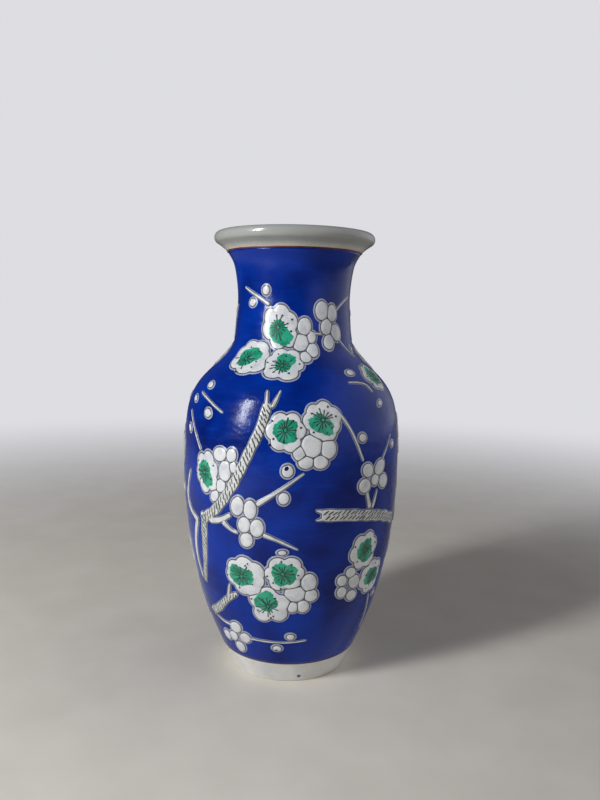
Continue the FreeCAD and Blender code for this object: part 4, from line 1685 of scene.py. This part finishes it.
@dataclass
class Studio:
    """The floor, the lights and the camera. Lengths are in mm."""

    focal_pixels: float = 720.0
    picture_long_side: float = 800.0
    sensor: float = 36.0
    camera_place: Triple = (4.55, -417.0, 202.7)
    pitch: float = 6.52
    roll: float = 1.03
    floor_radius: float = 1600.0
    floor_colour: str = "ddd6c9"
    wall_colour: str = "dddde2"
    floor_fade: Pair = (0.22, 1.1)
    room_dim: float = 0.05
    room_bright: float = 1.1
    room_range: Pair = (0.22, 0.8)

    def build(self) -> None:
        """Makes everything that isn't the vase."""
        self.build_camera()
        self.build_floor()
        self.build_world()
        self.build_lamp(Lamp())

    def build_camera(self) -> None:
        """Stands the camera where the photograph was taken from."""
        data = bpy.data.cameras.new("camera")
        data.sensor_width = self.sensor
        data.lens = self.sensor * self.focal_pixels / self.picture_long_side
        camera = stand("camera", data)
        camera.location = [part * MM for part in self.camera_place]
        camera.rotation_mode = "XYZ"
        camera.rotation_euler = (math.radians(90 - self.pitch), 0.0, 0.0)
        camera.rotation_euler.rotate_axis("Z", math.radians(self.roll))
        data.clip_start = 0.01
        bpy.context.scene.camera = camera

    def build_floor(self) -> None:
        """Makes the pale floor, which fades into the backdrop's colour far off."""
        around = 64
        rim = disc_points([self.floor_radius * MM] * around)[:-1]
        mesh = bpy.data.meshes.new("floor")
        mesh.from_pydata([(x, y, 0.0) for x, y in rim], [], [tuple(range(around))])
        floor = stand("floor", mesh)
        material = bpy.data.materials.new("matt_board_pale")
        tree = empty_tree(material)
        shader = add_node(tree, "ShaderNodeBsdfPrincipled", links={"Roughness": 0.6})
        spot = add_node(tree, "ShaderNodeTexCoord").outputs["Object"]
        grain = Finish.noise(tree, 40.0, 4.0)
        colour = Finish.ramp(tree, grain, [(0.3, "d5cdc0"), (0.7, self.floor_colour)])
        tree.links.new(colour, shader.inputs["Base Color"])
        far = add_node(tree, "ShaderNodeVectorMath", {"operation": "LENGTH"}, {0: spot})
        fade = stretched(tree, far.outputs["Value"], *self.floor_fade, kind="SMOOTHSTEP")
        seen = add_node(tree, "ShaderNodeLightPath").outputs["Is Camera Ray"]
        share = maths(tree, "MULTIPLY", fade, seen)
        wall = add_node(tree, "ShaderNodeEmission", links={"Color": linear(self.wall_colour),
                                                           "Strength": 1.0})
        mixed = add_node(tree, "ShaderNodeMixShader", links={
            0: share, 1: shader.outputs["BSDF"], 2: wall.outputs["Emission"]})
        add_node(tree, "ShaderNodeOutputMaterial", links={"Surface": mixed.outputs["Shader"]})
        mesh.materials.append(material)

    def build_world(self) -> None:
        """Lights the vase softly from all round, and shows a pale backdrop."""
        world = bpy.data.worlds.new("soft_room")
        bpy.context.scene.world = world
        tree = empty_tree(world)
        path = add_node(tree, "ShaderNodeLightPath")
        way = add_node(tree, "ShaderNodeTexCoord").outputs["Generated"]
        axes = add_node(tree, "ShaderNodeSeparateXYZ", links={"Vector": way})
        aside = stretched(tree, axes.outputs["X"], *self.room_range, self.room_dim, self.room_bright,
                          "SMOOTHSTEP")
        room = add_node(tree, "ShaderNodeBackground", links={
            "Color": linear("e6e8f0"), "Strength": aside})
        wall = add_node(tree, "ShaderNodeBackground", links={"Color": linear(self.wall_colour),
                                                             "Strength": 1.0})
        mixed = add_node(tree, "ShaderNodeMixShader", links={
            0: path.outputs["Is Camera Ray"], 1: room.outputs["Background"],
            2: wall.outputs["Background"]})
        add_node(tree, "ShaderNodeOutputWorld", links={"Surface": mixed.outputs["Shader"]})

    def build_lamp(self, lamp: Lamp) -> None:
        """Hangs one flat lamp that faces the vase.

        Args:
            lamp: what the lamp is like.
        """
        data = bpy.data.lights.new(lamp.name, "AREA")
        data.shape = "RECTANGLE"
        data.size, data.size_y = (part * MM for part in lamp.size)
        data.energy = lamp.power
        data.color = linear(lamp.colour)[:3]
        hung = stand(lamp.name, data)
        hung.location = [part * MM for part in lamp.place]
        middle = (CAD_BOX[0] + CAD_BOX[1]) / 2
        hung.rotation_euler = (hung.location - middle).to_track_quat("Z", "Y").to_euler()


def main() -> None:
    """Builds the studio and then the vase, from the clay outwards."""
    logging.basicConfig(level=logging.INFO, format="%(name)s: %(message)s")
    bpy.context.scene.view_settings.view_transform = "Standard"
    Studio().build()
    pot = PotSurface.of_node("blue_enamel")
    LOG.info("pot: %d rings from %.1f to %.1f mm", len(pot.heights), pot.heights[0], pot.heights[-1])
    Clay().build()
    BlueCoat(pot).build()
    bark = EdgedRelief(name="grey_white_enamel_raised", wash_width=0.34, line_width=0.42, shade="b2b1ad",
                       white="cecdc8", wash="8189a8", outline="34322f").build()
    painter = Painter(pot, EdgedRelief().build(), bark, GreenWash().build(), DrawnLine().build(),
                      BlueSpot().build())
    for plan in BOUGHS:
        Bough(plan, painter).build()
        LOG.info("%s: laid", plan.name)


if __name__ == "__main__":
    main()
